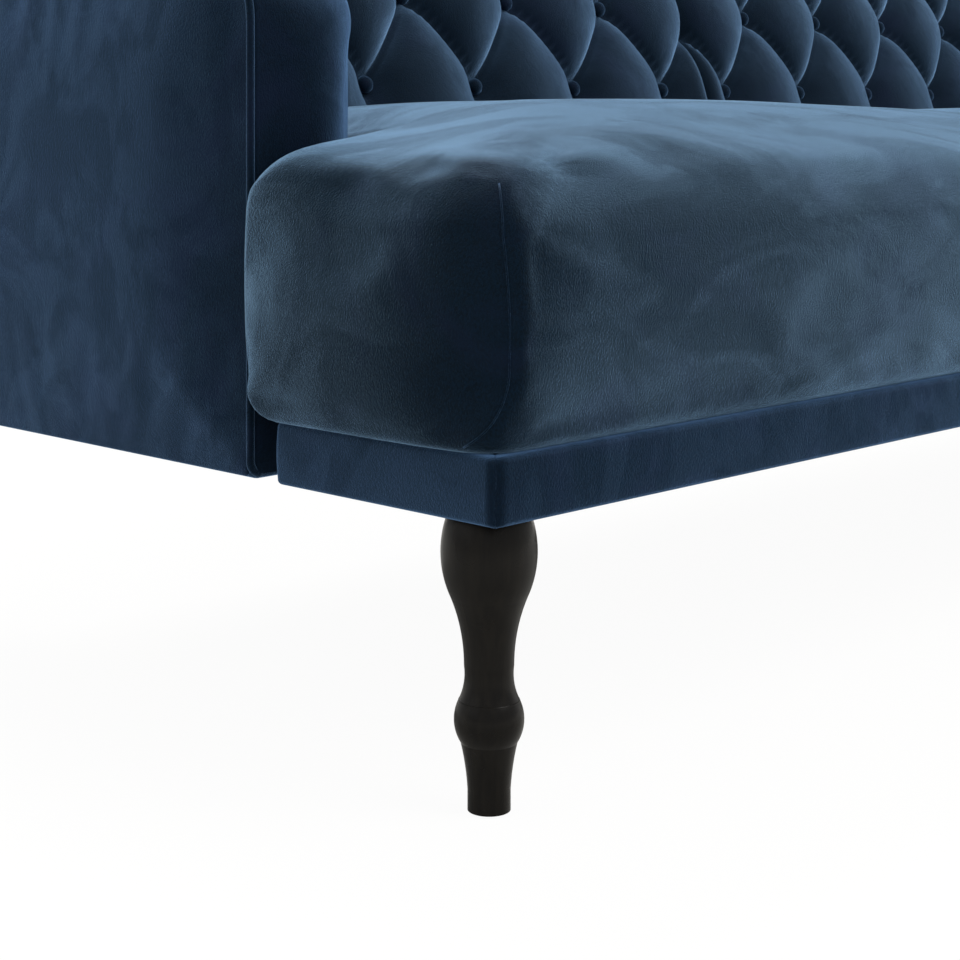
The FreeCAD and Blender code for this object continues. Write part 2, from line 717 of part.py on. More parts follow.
def tuft_outlines():
    """Outlines of the padded cells between the buttons: diamonds, with straight pleats at the ends."""
    cells = []
    low = -BACK_BELOW_PIVOT
    high = BACK_ABOVE_PIVOT
    last = TUFT_ROWS - 1
    for row in range(TUFT_ROWS):
        for index in range(-1, TUFT_COLUMNS):
            left = button_x(row, index)
            right = button_x(row, index + 1)
            middle = (left + right) / 2
            level = row_height(row)
            below = [(middle, level - ROW_PITCH)] if row > 0 else [(left, low), (right, low)]
            above = [(middle, level + ROW_PITCH)] if row < last else [(right, high), (left, high)]
            cell = clip([(left, level)] + below + [(right, level)] + above)
            if len(cell) > 2:
                cells.append(cell)
    return cells


def clip(points):
    for bound, sign in ((BACK_INNER_X, 1), (BACK_OUTER_X, -1)):
        kept = []
        for start, end in zip(points, points[1:] + points[:1]):
            inside = (start[0] - bound) * sign
            beyond = (end[0] - bound) * sign
            if inside >= 0:
                kept.append(start)
            if inside * beyond < 0:
                share = inside / (inside - beyond)
                kept.append((bound, start[1] + share * (end[1] - start[1])))
        points = kept
    return points


def tuft(cell):
    """A padded cell that swells from the pleats to the face in steps."""
    mid_x = sum(x for x, _ in cell) / len(cell)
    mid_z = sum(z for _, z in cell) / len(cell)
    rings = []
    for spread, rise in TUFT_STEPS:
        y = PLEAT_PLANE - rise * PLEAT_DEPTH
        ring = []
        for x, z in cell:
            ring.append(Vector(mid_x + (x - mid_x) * spread, y, mid_z + (z - mid_z) * spread))
        rings.append(ring)
    return faceted(rings)


def dimple(x, z):
    """A faceted cone that opens from the button's seat towards the face."""
    rings = []
    for rise in (0, PLEAT_DEPTH):
        y = BUTTON_SEAT - rise
        radius = (BUTTON_RADIUS + SOFT_GAP) / math.cos(math.pi / DIMPLE_SIDES) + rise * DIMPLE_SLOPE
        ring = []
        for side in range(DIMPLE_SIDES):
            turn = 2 * math.pi * side / DIMPLE_SIDES
            ring.append(Vector(x + radius * math.cos(turn), y, z + radius * math.sin(turn)))
        rings.append(ring)
    return faceted(rings)


def pad_core():
    z0 = -BACK_BELOW_PIVOT
    z1 = BACK_ABOVE_PIVOT
    x = BACK_INNER_X
    turn = PAD_ROUND * (1 - math.sqrt(0.5))
    rear_low = Vector(x, PAD_REAR, z0)
    low = Vector(x, PLEAT_PLANE, z0)
    high = Vector(x, PLEAT_PLANE, z1)
    top_rear = Vector(x, PAD_REAR - PAD_ROUND, z1)
    top_turn = Vector(x, PAD_REAR - turn, z1 - turn)
    rear_high = Vector(x, PAD_REAR, z1 - PAD_ROUND)
    edges = [
        line(rear_low, low),
        line(low, high),
        line(high, top_rear),
        arc(top_rear, top_turn, rear_high),
        line(rear_high, rear_low),
    ]
    return prism(edges, Vector(BACK_OUTER_X - BACK_INNER_X, 0, 0))


def back_pad():
    pad = pad_core().fuse([tuft(cell) for cell in tuft_outlines()])
    pad = pad.cut([dimple(x, z) for x, z in button_places()])
    return lean_back(pad)


def button():
    """A domed button at the origin, facing forward: the cap of a ball."""
    ball = (BUTTON_RADIUS ** 2 + BUTTON_HEIGHT ** 2) / (2 * BUTTON_HEIGHT)
    dome = Part.makeSphere(ball, Vector(0, ball - BUTTON_HEIGHT, 0))
    front = box(-ball, ball, -BUTTON_HEIGHT, 0, -ball, ball)
    return dome.common(front)


def back_buttons():
    buttons = []
    for x, z in button_places():
        placed = button()
        placed.translate(Vector(x, BUTTON_SEAT, z))
        buttons.append(lean_back(placed))
    return group(buttons)


def back_board():
    x0 = BACK_INNER_X + BOARD_INSET
    x1 = BACK_OUTER_X - BOARD_INSET
    z0 = BOARD_INSET - BACK_BELOW_PIVOT
    z1 = BACK_ABOVE_PIVOT - PAD_ROUND
    return lean_back(box(x0, x1, PAD_REAR, BOARD_REAR, z0, z1))


# A hinge's web stands on the middle of its bracket's foot, and its plate lies between web and stile
STILE_TOP = BACK_ABOVE_PIVOT - PAD_ROUND
OUTER_WEB_X = ARM_INNER_X - (BRACKET_FOOT_WIDTH + HINGE_PLATE) / 2
OUTER_STILE_X = OUTER_WEB_X - HINGE_PLATE - HINGE_GAP
INNER_STILE_X = CENTRE_RAIL_X - 2 * HINGE_GAP
INNER_WEB_X = INNER_STILE_X - HINGE_PLATE - HINGE_GAP
CENTRE_STILE_X = (OUTER_STILE_X + INNER_STILE_X - BACK_TIMBER) / 2


def back_timber(x0, x1, z0, z1):
    return box(x0, x1, BOARD_REAR, BACK_FRAME_REAR, z0, z1)


def back_stiles():
    stiles = []
    holes = group(back_bolt_holes())
    for x in (OUTER_STILE_X - BACK_TIMBER, INNER_STILE_X, CENTRE_STILE_X):
        stiles.append(back_timber(x, x + BACK_TIMBER, STILE_ABOVE_PIVOT, STILE_TOP).cut(holes))
    return lean_back(group(stiles))


def back_rails():
    x0 = INNER_STILE_X + BACK_TIMBER
    x1 = OUTER_STILE_X - BACK_TIMBER
    rails = []
    for z in (STILE_ABOVE_PIVOT, STILE_TOP - BACK_TIMBER):
        rails.append(back_timber(x0, CENTRE_STILE_X, z, z + BACK_TIMBER))
        rails.append(back_timber(CENTRE_STILE_X + BACK_TIMBER, x1, z, z + BACK_TIMBER))
    return lean_back(group(rails))


def rear_cover():
    cover = box(INNER_STILE_X, OUTER_STILE_X, BACK_FRAME_REAR, COVER_REAR, STILE_ABOVE_PIVOT, STILE_TOP)
    corners = [edge for edge in cover.Edges if edge.Vertexes[0].Y != edge.Vertexes[-1].Y]
    return lean_back(cover.makeFillet(REAR_COVER_CORNER, corners))


# Recline hinges: bracket on the seat frame, plate on the stile, pin, notched wheel and leaf spring

BRACKET_REAR = PIVOT_DEPTH + BRACKET_REACH_BACK
BRACKET_FRONT = BRACKET_REAR - BRACKET_FOOT_LENGTH
FOOT_TOP = RAIL_TOP + HINGE_PLATE
NOSE_CENTRE = WHEEL_RADIUS + NOSE_RADIUS + NOTCH_FIT - NOTCH_DEPTH
SPRING_REAR = PIVOT_DEPTH + NOSE_CENTRE + NOSE_RADIUS
HINGE_BOLT_DEPTHS = (BRACKET_FRONT + BRACKET_HEAD, SPRING_REAR - SPRING_TAB / 2)


def outward(web_x, side, start, end):
    """The span from start to end beyond the web, away from the stile, as lowest and highest X."""
    ends = (web_x + side * (HINGE_PLATE + start), web_x + side * (HINGE_PLATE + end))
    return min(ends), max(ends)


def hinge_bolt_x(web_x, side):
    return web_x + side * (HINGE_PLATE + HINGE_GAP + HINGE_BOLT_HEAD_RADIUS + HOLE_FIT)


def hinge_bolt_hole(web_x, side, y):
    x = hinge_bolt_x(web_x, side)
    z0 = FOOT_TOP - HINGE_BOLT_LENGTH - HOLE_FIT
    return upright(x, y, z0, FOOT_TOP, HINGE_BOLT_RADIUS + HOLE_FIT)


def hinge_bracket(web_x, side, foot_x0, foot_x1):
    x0, x1 = outward(web_x, side, -HINGE_PLATE, 0)
    foot = box(foot_x0, foot_x1, BRACKET_FRONT, BRACKET_REAR, RAIL_TOP, FOOT_TOP)
    head = across(x0, x1, PIVOT_DEPTH, PIVOT_HEIGHT, BRACKET_HEAD)
    web = [
        Vector(x0, BRACKET_FRONT + HINGE_PLATE, RAIL_TOP),
        Vector(x0, BRACKET_REAR - HINGE_PLATE, RAIL_TOP),
        Vector(x0, PIVOT_DEPTH + BRACKET_HEAD, PIVOT_HEIGHT),
        Vector(x0, PIVOT_DEPTH - BRACKET_HEAD, PIVOT_HEIGHT),
    ]
    bracket = foot.fuse([head, polygon_prism(web, Vector(x1 - x0, 0, 0))]).removeSplitter()
    bracket = bracket.cut(across(x0, x1, PIVOT_DEPTH, PIVOT_HEIGHT, PIN_RADIUS + RUNNING_FIT))
    for y in HINGE_BOLT_DEPTHS:
        bracket = bracket.cut(hinge_bolt_hole(web_x, side, y))
    return bracket


def hinge_bolts(web_x, side):
    bolts = []
    x = hinge_bolt_x(web_x, side)
    for y, seat in zip(HINGE_BOLT_DEPTHS, (FOOT_TOP, FOOT_TOP + SPRING_THICKNESS)):
        shank = upright(x, y, FOOT_TOP - HINGE_BOLT_LENGTH, seat, HINGE_BOLT_RADIUS)
        head = upright(x, y, seat, seat + HINGE_BOLT_HEAD_HEIGHT, HINGE_BOLT_HEAD_RADIUS)
        bolts.append(shank.fuse(head).removeSplitter())
    return bolts


def detent_spring(web_x, side):
    """A leaf standing on the bracket's foot, with a round nose that drops into the wheel's notches."""
    bolt_x = hinge_bolt_x(web_x, side)
    x0, x1 = outward(web_x, side, HINGE_GAP, HINGE_GAP + SPRING_WIDTH)
    tab_x0 = bolt_x - HINGE_BOLT_HEAD_RADIUS
    tab_x1 = bolt_x + HINGE_BOLT_HEAD_RADIUS
    top = PIVOT_HEIGHT + SPRING_ABOVE_PIVOT
    tab_top = FOOT_TOP + SPRING_THICKNESS
    tab = box(tab_x0, tab_x1, SPRING_REAR - SPRING_TAB, SPRING_REAR, FOOT_TOP, tab_top)
    leaf = box(x0, x1, SPRING_REAR - SPRING_THICKNESS, SPRING_REAR, FOOT_TOP, top)
    nose = across(x0, x1, PIVOT_DEPTH + NOSE_CENTRE, PIVOT_HEIGHT, NOSE_RADIUS)
    spring = tab.fuse([leaf, nose]).removeSplitter()
    bolt_hole = upright(bolt_x, HINGE_BOLT_DEPTHS[1], FOOT_TOP, tab_top, HINGE_BOLT_RADIUS + HOLE_FIT)
    return spring.cut(bolt_hole)


def ratchet_wheel(web_x, side):
    x0, x1 = outward(web_x, side, HINGE_GAP, HINGE_GAP + WHEEL_THICKNESS)
    wheel = across(x0, x1, 0, 0, WHEEL_RADIUS).cut(across(x0, x1, 0, 0, PIN_RADIUS + RUNNING_FIT))
    notch = NOSE_RADIUS + NOTCH_FIT
    centre = WHEEL_RADIUS + notch - NOTCH_DEPTH
    for angle in (0, LOUNGE_ANGLE, FLAT_ANGLE):
        turn = math.radians(angle)
        wheel = wheel.cut(across(x0, x1, centre * math.cos(turn), centre * math.sin(turn), notch))
    wheel.translate(PIVOT)
    return wheel


def hinge_pin(web_x, side):
    beyond_wheel = HINGE_GAP + WHEEL_THICKNESS
    outer_x0, outer_x1 = outward(web_x, side, beyond_wheel, beyond_wheel + PIN_HEAD_HEIGHT)
    inner_x0, inner_x1 = outward(web_x, side, -3 * HINGE_PLATE, -2 * HINGE_PLATE - HINGE_GAP)
    ends = (outer_x0, outer_x1, inner_x0, inner_x1)
    shank = across(min(ends), max(ends), PIVOT_DEPTH, PIVOT_HEIGHT, PIN_RADIUS)
    heads = [
        across(outer_x0, outer_x1, PIVOT_DEPTH, PIVOT_HEIGHT, PIN_HEAD_RADIUS),
        across(inner_x0, inner_x1, PIVOT_DEPTH, PIVOT_HEIGHT, PIN_HEAD_RADIUS),
    ]
    return shank.fuse(heads).removeSplitter()


ARM_PLATE_MIDDLE = (BOARD_REAR + BACK_FRAME_REAR) / 2
BACK_BOLT_HEIGHTS = [ARM_PLATE_LENGTH * share for share in ARM_PLATE_BOLT_SHARES]


def arm_plate_span(web_x, side):
    return outward(web_x, side, -2 * HINGE_PLATE - HINGE_GAP, -HINGE_PLATE - HINGE_GAP)


def hinge_arm(web_x, side):
    x0, x1 = arm_plate_span(web_x, side)
    low = ARM_PLATE_MIDDLE - ARM_PLATE_WIDTH / 2
    high = ARM_PLATE_MIDDLE + ARM_PLATE_WIDTH / 2
    outline = [
        Vector(x0, -ARM_PLATE_HEAD, 0),
        Vector(x0, ARM_PLATE_HEAD, 0),
        Vector(x0, high, ARM_PLATE_KNEE),
        Vector(x0, high, ARM_PLATE_LENGTH),
        Vector(x0, low, ARM_PLATE_LENGTH),
        Vector(x0, low, ARM_PLATE_KNEE),
    ]
    head = across(x0, x1, 0, 0, ARM_PLATE_HEAD)
    plate = polygon_prism(outline, Vector(x1 - x0, 0, 0)).fuse(head).removeSplitter()
    plate = plate.cut(across(x0, x1, 0, 0, PIN_RADIUS + RUNNING_FIT))
    for z in BACK_BOLT_HEIGHTS:
        plate = plate.cut(across(x0, x1, ARM_PLATE_MIDDLE, z, HINGE_BOLT_RADIUS + HOLE_FIT))
    return lean_back(plate)


def back_bolt_span(web_x, side, extra):
    """Lowest and highest X of a bolt's shank, from the plate's outer face into the stile."""
    reach = HINGE_BOLT_LENGTH + extra
    return outward(web_x, side, -HINGE_PLATE - HINGE_GAP - reach, -HINGE_PLATE - HINGE_GAP)


def back_bolt_holes():
    holes = []
    for web_x, side in HINGES:
        x0, x1 = back_bolt_span(web_x, side, HOLE_FIT)
        for z in BACK_BOLT_HEIGHTS:
            holes.append(across(x0, x1, ARM_PLATE_MIDDLE, z, HINGE_BOLT_RADIUS + HOLE_FIT))
    return holes


def back_bolts():
    bolts = []
    for web_x, side in HINGES:
        x0, x1 = back_bolt_span(web_x, side, 0)
        seat = -HINGE_PLATE - HINGE_GAP
        head_x0, head_x1 = outward(web_x, side, seat, seat + HINGE_BOLT_HEAD_HEIGHT)
        for z in BACK_BOLT_HEIGHTS:
            shank = across(x0, x1, ARM_PLATE_MIDDLE, z, HINGE_BOLT_RADIUS)
            head = across(head_x0, head_x1, ARM_PLATE_MIDDLE, z, HINGE_BOLT_HEAD_RADIUS)
            bolts.append(shank.fuse(head).removeSplitter())
    return lean_back(group(bolts))


# The two hinges of the right half: side is the way from the stile to the bracket
HINGES = ((OUTER_WEB_X, 1), (INNER_WEB_X, -1))


def add_pair(name, shape):
    """A piece of the right side and its mirror image on the left."""
    nodes[name.format("right")] = shape
    nodes[name.format("left")] = mirrored(shape)


def build_seat_frame():
    nodes["front_rail"] = front_rail()
    nodes["rear_rail"] = rear_rail()
    nodes["centre_rail"] = centre_rail()
    add_pair("end_rail_{}", end_rail())
    nodes["wing_rails"] = wing_rails()
    nodes["corner_blocks"] = with_mirror([corner_block()])
    nodes["seat_webbing_long"] = long_straps()
    nodes["seat_webbing_cross"] = cross_straps()
    nodes["seat_deck"] = seat_deck()
    nodes["dust_cover"] = dust_cover()
    nodes["border_front"] = front_border()
    add_pair("border_{}", wing_border())
    nodes["border_rear"] = rear_border()
    nodes["seat_cushion"] = seat_cushion()


def build_legs():
    places = [(LEG_X, LEG_FACE_INSET), (LEG_X, LEG_REAR_Y)]
    add_pair("leg_front_{}", leg(*places[0]))
    add_pair("leg_rear_{}", leg(*places[1]))
    nodes["leg_plates"] = with_mirror([leg_plate(x, y) for x, y in places])
    nodes["leg_bolts"] = with_mirror([leg_bolt(x, y) for x, y in places])
    nodes["leg_glides"] = with_mirror([leg_glide(x, y) for x, y in places])


def build_arms():
    add_pair("arm_frame_{}", arm_frame())
    add_pair("arm_pad_{}", arm_pad())
    add_pair("arm_panel_{}", arm_panel())
    add_pair("arm_welt_{}", arm_welt())
    nodes["arm_bolts"] = with_mirror([arm_bolt(y) for y in ARM_BOLT_DEPTHS])


def build_backs():
    add_pair("back_pad_{}", back_pad())
    add_pair("back_buttons_{}", back_buttons())
    add_pair("back_board_{}", back_board())
    add_pair("back_stiles_{}", back_stiles())
    add_pair("back_rails_{}", back_rails())
    add_pair("back_cover_{}", rear_cover())
    add_pair("back_bolts_{}", back_bolts())


def build_hinges():
    outer_foot = (ARM_INNER_X - BRACKET_FOOT_WIDTH, ARM_INNER_X - HOLE_FIT)
    inner_foot = (HINGE_GAP, CENTRE_RAIL_X)
    add_pair("hinge_bracket_outer_{}", hinge_bracket(*HINGES[0], *outer_foot))
    add_pair("hinge_bracket_inner_{}", hinge_bracket(*HINGES[1], *inner_foot))
    add_pair("hinge_arms_{}", group([hinge_arm(*hinge) for hinge in HINGES]))
    add_pair("hinge_pins_{}", group([hinge_pin(*hinge) for hinge in HINGES]))
    add_pair("ratchet_wheels_{}", group([ratchet_wheel(*hinge) for hinge in HINGES]))
    add_pair("detent_springs_{}", group([detent_spring(*hinge) for hinge in HINGES]))
    bolts = hinge_bolts(*HINGES[0]) + hinge_bolts(*HINGES[1])
    nodes["hinge_bolts"] = with_mirror(bolts)


def write_parts():
    os.makedirs("parts", exist_ok=True)
    for name, shape in nodes.items():
        placed = shape.copy()
        placed.translate(Vector(0, -MODEL_CENTRE_Y, 0))
        placed.exportStep(os.path.join("parts", name + ".step"))


build_seat_frame()
build_legs()
build_arms()
build_backs()
build_hinges()
write_parts()
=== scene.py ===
import json
import math

import bpy
import numpy as np
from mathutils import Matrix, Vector
from mathutils.geometry import delaunay_2d_cdt


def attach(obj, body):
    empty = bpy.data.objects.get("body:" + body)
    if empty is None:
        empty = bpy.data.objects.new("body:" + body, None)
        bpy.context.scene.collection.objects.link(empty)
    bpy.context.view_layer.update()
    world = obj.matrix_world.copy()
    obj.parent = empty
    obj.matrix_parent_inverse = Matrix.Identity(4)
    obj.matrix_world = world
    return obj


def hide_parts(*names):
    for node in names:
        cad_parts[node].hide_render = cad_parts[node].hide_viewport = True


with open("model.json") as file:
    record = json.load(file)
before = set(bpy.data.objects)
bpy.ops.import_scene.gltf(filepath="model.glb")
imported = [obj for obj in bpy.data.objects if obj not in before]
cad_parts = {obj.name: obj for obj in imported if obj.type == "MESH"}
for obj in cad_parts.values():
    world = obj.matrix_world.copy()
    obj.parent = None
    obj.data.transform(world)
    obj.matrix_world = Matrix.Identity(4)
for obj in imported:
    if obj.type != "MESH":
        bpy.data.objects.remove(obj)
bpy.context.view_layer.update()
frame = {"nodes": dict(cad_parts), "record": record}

# Lengths are in millimetres, with depths from the front of the base, as in the part's source.
MM = 0.001
ORIGIN_DEPTH = 390.0
HALF_WIDTH = 930.0
LEG_HEIGHT = 200.0
BASE_TOP = 243.0
WING_DEPTH = 204.0
ARM_FRONT = 237.0
ARM_REAR = 790.0
ARM_TOP = 590.0
ARM_INNER = 800.0
FRAME_DEPTH = 675.0
PIVOT_DEPTH = 631.5
PIVOT_HEIGHT = 315.0
RECLINE = math.radians(18.0)
BACK_INNER = 1.2
BACK_OUTER = 795.0
BACK_LOW = -80.0
BACK_HIGH = 500.0
PAD_FACE = -135.0
PAD_REAR = -39.0
BUTTON_PITCH = 152.3
ROW_PITCH = 95.4
FIRST_ROW = 142.0
FIRST_BUTTON = 59.0
TUFT_ROWS = 4
TUFT_COLUMNS = 5


# Camera: a level view of the front left corner, framed low with a shifted lens

SENSOR_WIDTH = 36.0
LENS_LENGTH = 71.4
LENS_SHIFT = -0.3714
VIEW_LIMIT = 50.0
CAMERA_PLACE = (-1.7623, -1.1924, 0.4443)
CAMERA_HEADING = math.radians(44.42 - 90)


def add_camera():
    lens = bpy.data.cameras.new("camera")
    lens.sensor_width = SENSOR_WIDTH
    lens.lens = LENS_LENGTH
    lens.shift_y = LENS_SHIFT
    lens.clip_end = VIEW_LIMIT
    camera = bpy.data.objects.new("camera", lens)
    bpy.context.scene.collection.objects.link(camera)
    camera.location = CAMERA_PLACE
    camera.rotation_euler = (math.radians(90), 0, CAMERA_HEADING)
    bpy.context.scene.camera = camera


# Node materials

class Graph:
    """Short ways to add and join shader nodes."""

    def __init__(self, name):
        self.material = bpy.data.materials.new(name)
        self.material.use_nodes = True
        self.tree = self.material.node_tree
        self.tree.nodes.clear()
        self.shader = self.add("ShaderNodeBsdfPrincipled")
        self.output = self.add("ShaderNodeOutputMaterial")
        self.join(self.shader.outputs["BSDF"], self.output.inputs["Surface"])
        self.place = self.add("ShaderNodeTexCoord").outputs["Object"]

    def add(self, kind):
        return self.tree.nodes.new(kind)

    def join(self, output, socket):
        self.tree.links.new(output, socket)

    def put(self, socket, value):
        if isinstance(value, bpy.types.NodeSocket):
            self.join(value, socket)
        else:
            socket.default_value = value

    def set(self, **values):
        for name, value in values.items():
            self.put(self.shader.inputs[name.replace("_", " ")], value)

    def stretched(self, scale):
        mapping = self.add("ShaderNodeMapping")
        self.join(self.place, mapping.inputs["Vector"])
        mapping.inputs["Scale"].default_value = scale
        return mapping.outputs["Vector"]

    def noise(self, vector, scale, detail=3.0, roughness=0.5, distortion=0.0, colour=False):
        node = self.add("ShaderNodeTexNoise")
        self.join(vector, node.inputs["Vector"])
        node.inputs["Scale"].default_value = scale
        node.inputs["Detail"].default_value = detail
        node.inputs["Roughness"].default_value = roughness
        node.inputs["Distortion"].default_value = distortion
        return node.outputs["Color" if colour else "Fac"]

    def ramp(self, value, low, high, bottom=0.0, top=1.0):
        node = self.add("ShaderNodeMapRange")
        node.interpolation_type = "SMOOTHSTEP"
        self.put(node.inputs["Value"], value)
        node.inputs["From Min"].default_value = low
        node.inputs["From Max"].default_value = high
        node.inputs["To Min"].default_value = bottom
        node.inputs["To Max"].default_value = top
        return node.outputs["Result"]

    def spread(self, vector, low, high, bottom, top):
        node = self.add("ShaderNodeMapRange")
        node.data_type = "FLOAT_VECTOR"
        node.interpolation_type = "SMOOTHSTEP"
        self.join(vector, node.inputs["Vector"])
        limits = {
            "From_Min_FLOAT3": low,
            "From_Max_FLOAT3": high,
            "To_Min_FLOAT3": bottom,
            "To_Max_FLOAT3": top,
        }
        for socket in node.inputs:
            if socket.identifier in limits:
                socket.default_value = [limits[socket.identifier]] * 3
        return node.outputs["Vector"]

    def maths(self, kind, first, second):
        node = self.add("ShaderNodeMath")
        node.operation = kind
        self.put(node.inputs[0], first)
        self.put(node.inputs[1], second)
        return node.outputs[0]

    def vector_maths(self, kind, first, second=None):
        node = self.add("ShaderNodeVectorMath")
        node.operation = kind
        self.put(node.inputs[0], first)
        if second is not None:
            self.put(node.inputs["Scale"] if kind == "SCALE" else node.inputs[1], second)
        return node.outputs["Value" if kind == "DOT_PRODUCT" else "Vector"]

    def parts(self, vector):
        node = self.add("ShaderNodeSeparateXYZ")
        self.join(vector, node.inputs[0])
        return node.outputs

    def facing(self, normal, direction, power):
        """1 where the surface faces a direction, falling to 0 at right angles to it."""
        turned = self.maths("MAXIMUM", self.vector_maths("DOT_PRODUCT", normal, direction), 0.0)
        return self.maths("POWER", turned, power)

    def mix(self, share, first, second):
        node = self.add("ShaderNodeMix")
        node.data_type = "RGBA"
        self.put(node.inputs[0], share)
        self.put(node.inputs[6], first)
        self.put(node.inputs[7], second)
        return node.outputs[2]

    def bump(self, height, distance, strength=1.0, normal=None):
        node = self.add("ShaderNodeBump")
        node.inputs["Strength"].default_value = strength
        node.inputs["Distance"].default_value = distance
        self.join(height, node.inputs["Height"])
        if normal is not None:
            self.join(normal, node.inputs["Normal"])
        return node.outputs["Normal"]


# How the seat's pile leans, and the places in metres over which each lean comes in

TOP_LEAN = (0, 0.15, 0)
TOP_SHARPNESS = 8.0
EAR_LEAN = (0, 0.38, 0)
EAR_DEPTHS = (-0.235, -0.155)
EAR_HEIGHTS = (0.285, 0.345)
CORNER_LEAN = (0.25, 0, 0)
CORNER_SIDES = (0.855, 0.915)
SIDE_SHARPNESS = 4.0
NOSE_LEAN = (0, -0.15, -0.45)
NOSE_DEPTHS = (-0.28, -0.22)
NOSE_SIDES = (0.30, 0.80)
NOSE_SHARPNESS = 2.0
NOSE_SHARE_AT_MIDDLE = 0.45
NAP_SHARPNESS = 24.0
RIGHT = (1, 0, 0)
LEFT = (-1, 0, 0)
FRONT = (0, -1, 0)
UP = (0, 0, 1)


def brush_seat(graph, normal, strokes):
    """How the seat's pile leans, with strokes that add to the lean on top.

    It leans rearward on top and high on the ears' ends, outward at the front corners and down at the nose.
    """
    across, along, up = graph.parts(graph.place)
    from_middle = graph.maths("ABSOLUTE", across, 0.0)
    level = graph.facing(normal, UP, TOP_SHARPNESS)
    top = graph.vector_maths("SCALE", graph.vector_maths("ADD", strokes, TOP_LEAN), level)
    right = graph.facing(normal, RIGHT, SIDE_SHARPNESS)
    ends = graph.maths("ADD", right, graph.facing(normal, LEFT, SIDE_SHARPNESS))
    ends = graph.maths("MULTIPLY", ends, graph.ramp(along, *EAR_DEPTHS))
    ends = graph.maths("MULTIPLY", ends, graph.ramp(up, *EAR_HEIGHTS))
    ears = graph.vector_maths("SCALE", EAR_LEAN, ends)
    corner = graph.ramp(from_middle, *CORNER_SIDES)
    corner = graph.maths("MULTIPLY", corner, graph.maths("SIGN", across, 0.0))
    corner = graph.maths("MULTIPLY", corner, graph.facing(normal, FRONT, SIDE_SHARPNESS))
    corners = graph.vector_maths("SCALE", CORNER_LEAN, corner)
    nose = graph.maths("SUBTRACT", graph.facing(normal, UP, NOSE_SHARPNESS), level)
    nose = graph.maths("MULTIPLY", nose, graph.ramp(along, *NOSE_DEPTHS, bottom=1.0, top=0.0))
    nose = graph.maths("MULTIPLY", nose, graph.ramp(from_middle, *NOSE_SIDES, bottom=NOSE_SHARE_AT_MIDDLE))
    noses = graph.vector_maths("SCALE", NOSE_LEAN, nose)
    leans = graph.vector_maths("ADD", graph.vector_maths("ADD", top, ears), corners)
    return graph.vector_maths("ADD", leans, noses)


# Velvet

FIBRE_STRETCH = (820, 820, 560)
FIBRE_HEIGHT = 0.00062
PILE_DEEP = (0.0001, 0.0020, 0.0044, 1)
PILE_LIFTED = (0.0008, 0.0060, 0.0146, 1)
PILE_VIOLET = (0.0030, 0.0062, 0.0186, 1)
VIOLET_SHARE = 0.7


def velvet(name, streaks, tint, lean, softness, nap=0.0, swept=0.0):
    """Short-pile velvet: dark where it faces the eye and pale at a grazing angle, with brushed patches.

    The pile leans as far as lean in patches stretched by streaks, and sideways by nap on front faces.
    Where swept is given, the pile is brushed as on the seat, with strokes on top that lean that much further.
    """
    graph = Graph(name)
    patches = graph.stretched(streaks)
    brushed = graph.noise(patches, 1.0, detail=4.0, roughness=0.55, distortion=1.3, colour=True)
    stroke = graph.spread(brushed, 0.42, 0.58, -lean, lean)
    tone = graph.noise(graph.place, 9.0, roughness=0.55, distortion=1.4)
    fibre = graph.noise(graph.stretched(FIBRE_STRETCH), 1.0, roughness=0.75)
    colour = graph.mix(graph.ramp(fibre, 0.35, 0.65), PILE_DEEP, PILE_LIFTED)
    colour = graph.mix(graph.ramp(tone, 0.45, 0.75, top=VIOLET_SHARE), colour, PILE_VIOLET)
    normal = graph.add("ShaderNodeNewGeometry").outputs["Normal"]
    if swept:
        crisp = graph.spread(brushed, 0.46, 0.54, -swept, swept)
        stroke = graph.vector_maths("ADD", stroke, brush_seat(graph, normal, crisp))
    side = graph.vector_maths("SCALE", (nap, 0, 0), graph.facing(normal, FRONT, NAP_SHARPNESS))
    normal = graph.vector_maths("ADD", graph.vector_maths("ADD", normal, stroke), side)
    normal = graph.vector_maths("NORMALIZE", normal)
    normal = graph.bump(fibre, FIBRE_HEIGHT, normal=normal)
    graph.set(Base_Color=colour, Roughness=0.62, Normal=normal)
    graph.set(Specular_IOR_Level=0.03, Sheen_Weight=1.0, Sheen_Roughness=softness, Sheen_Tint=tint)
    return graph.material


# Wood, woven cloth and metal

def black_wood():
    dark = (0.0014, 0.0010, 0.0006, 1)
    pale = (0.0038, 0.0030, 0.0020, 1)
    graph = Graph("black_stained_wood")
    grain = graph.noise(graph.stretched((220, 220, 14)), 1.0, detail=4.0, roughness=0.6, distortion=0.4)
    cloud = graph.noise(graph.place, 26.0)
    graph.set(Base_Color=graph.mix(graph.ramp(grain, 0.35, 0.7), dark, pale))
    graph.set(Roughness=graph.ramp(cloud, 0.3, 0.7, bottom=0.24, top=0.36))
    graph.set(Normal=graph.bump(grain, 0.0002, strength=0.3), Specular_IOR_Level=0.12)
    return graph.material


def plain_wood(name, pale, dark):
    graph = Graph(name)
    grain = graph.noise(graph.stretched((9, 60, 60)), 1.0, detail=5.0, roughness=0.6, distortion=1.1)
    fine = graph.noise(graph.stretched((40, 500, 500)), 1.0)
    colour = graph.mix(graph.ramp(grain, 0.3, 0.7), pale, dark)
    colour = graph.mix(graph.ramp(fine, 0.45, 0.8, top=0.35), colour, dark)
    graph.set(Base_Color=colour, Roughness=graph.ramp(fine, 0.3, 0.7, bottom=0.55, top=0.72))
    graph.set(Normal=graph.bump(fine, 0.0003, strength=0.4))
    return graph.material


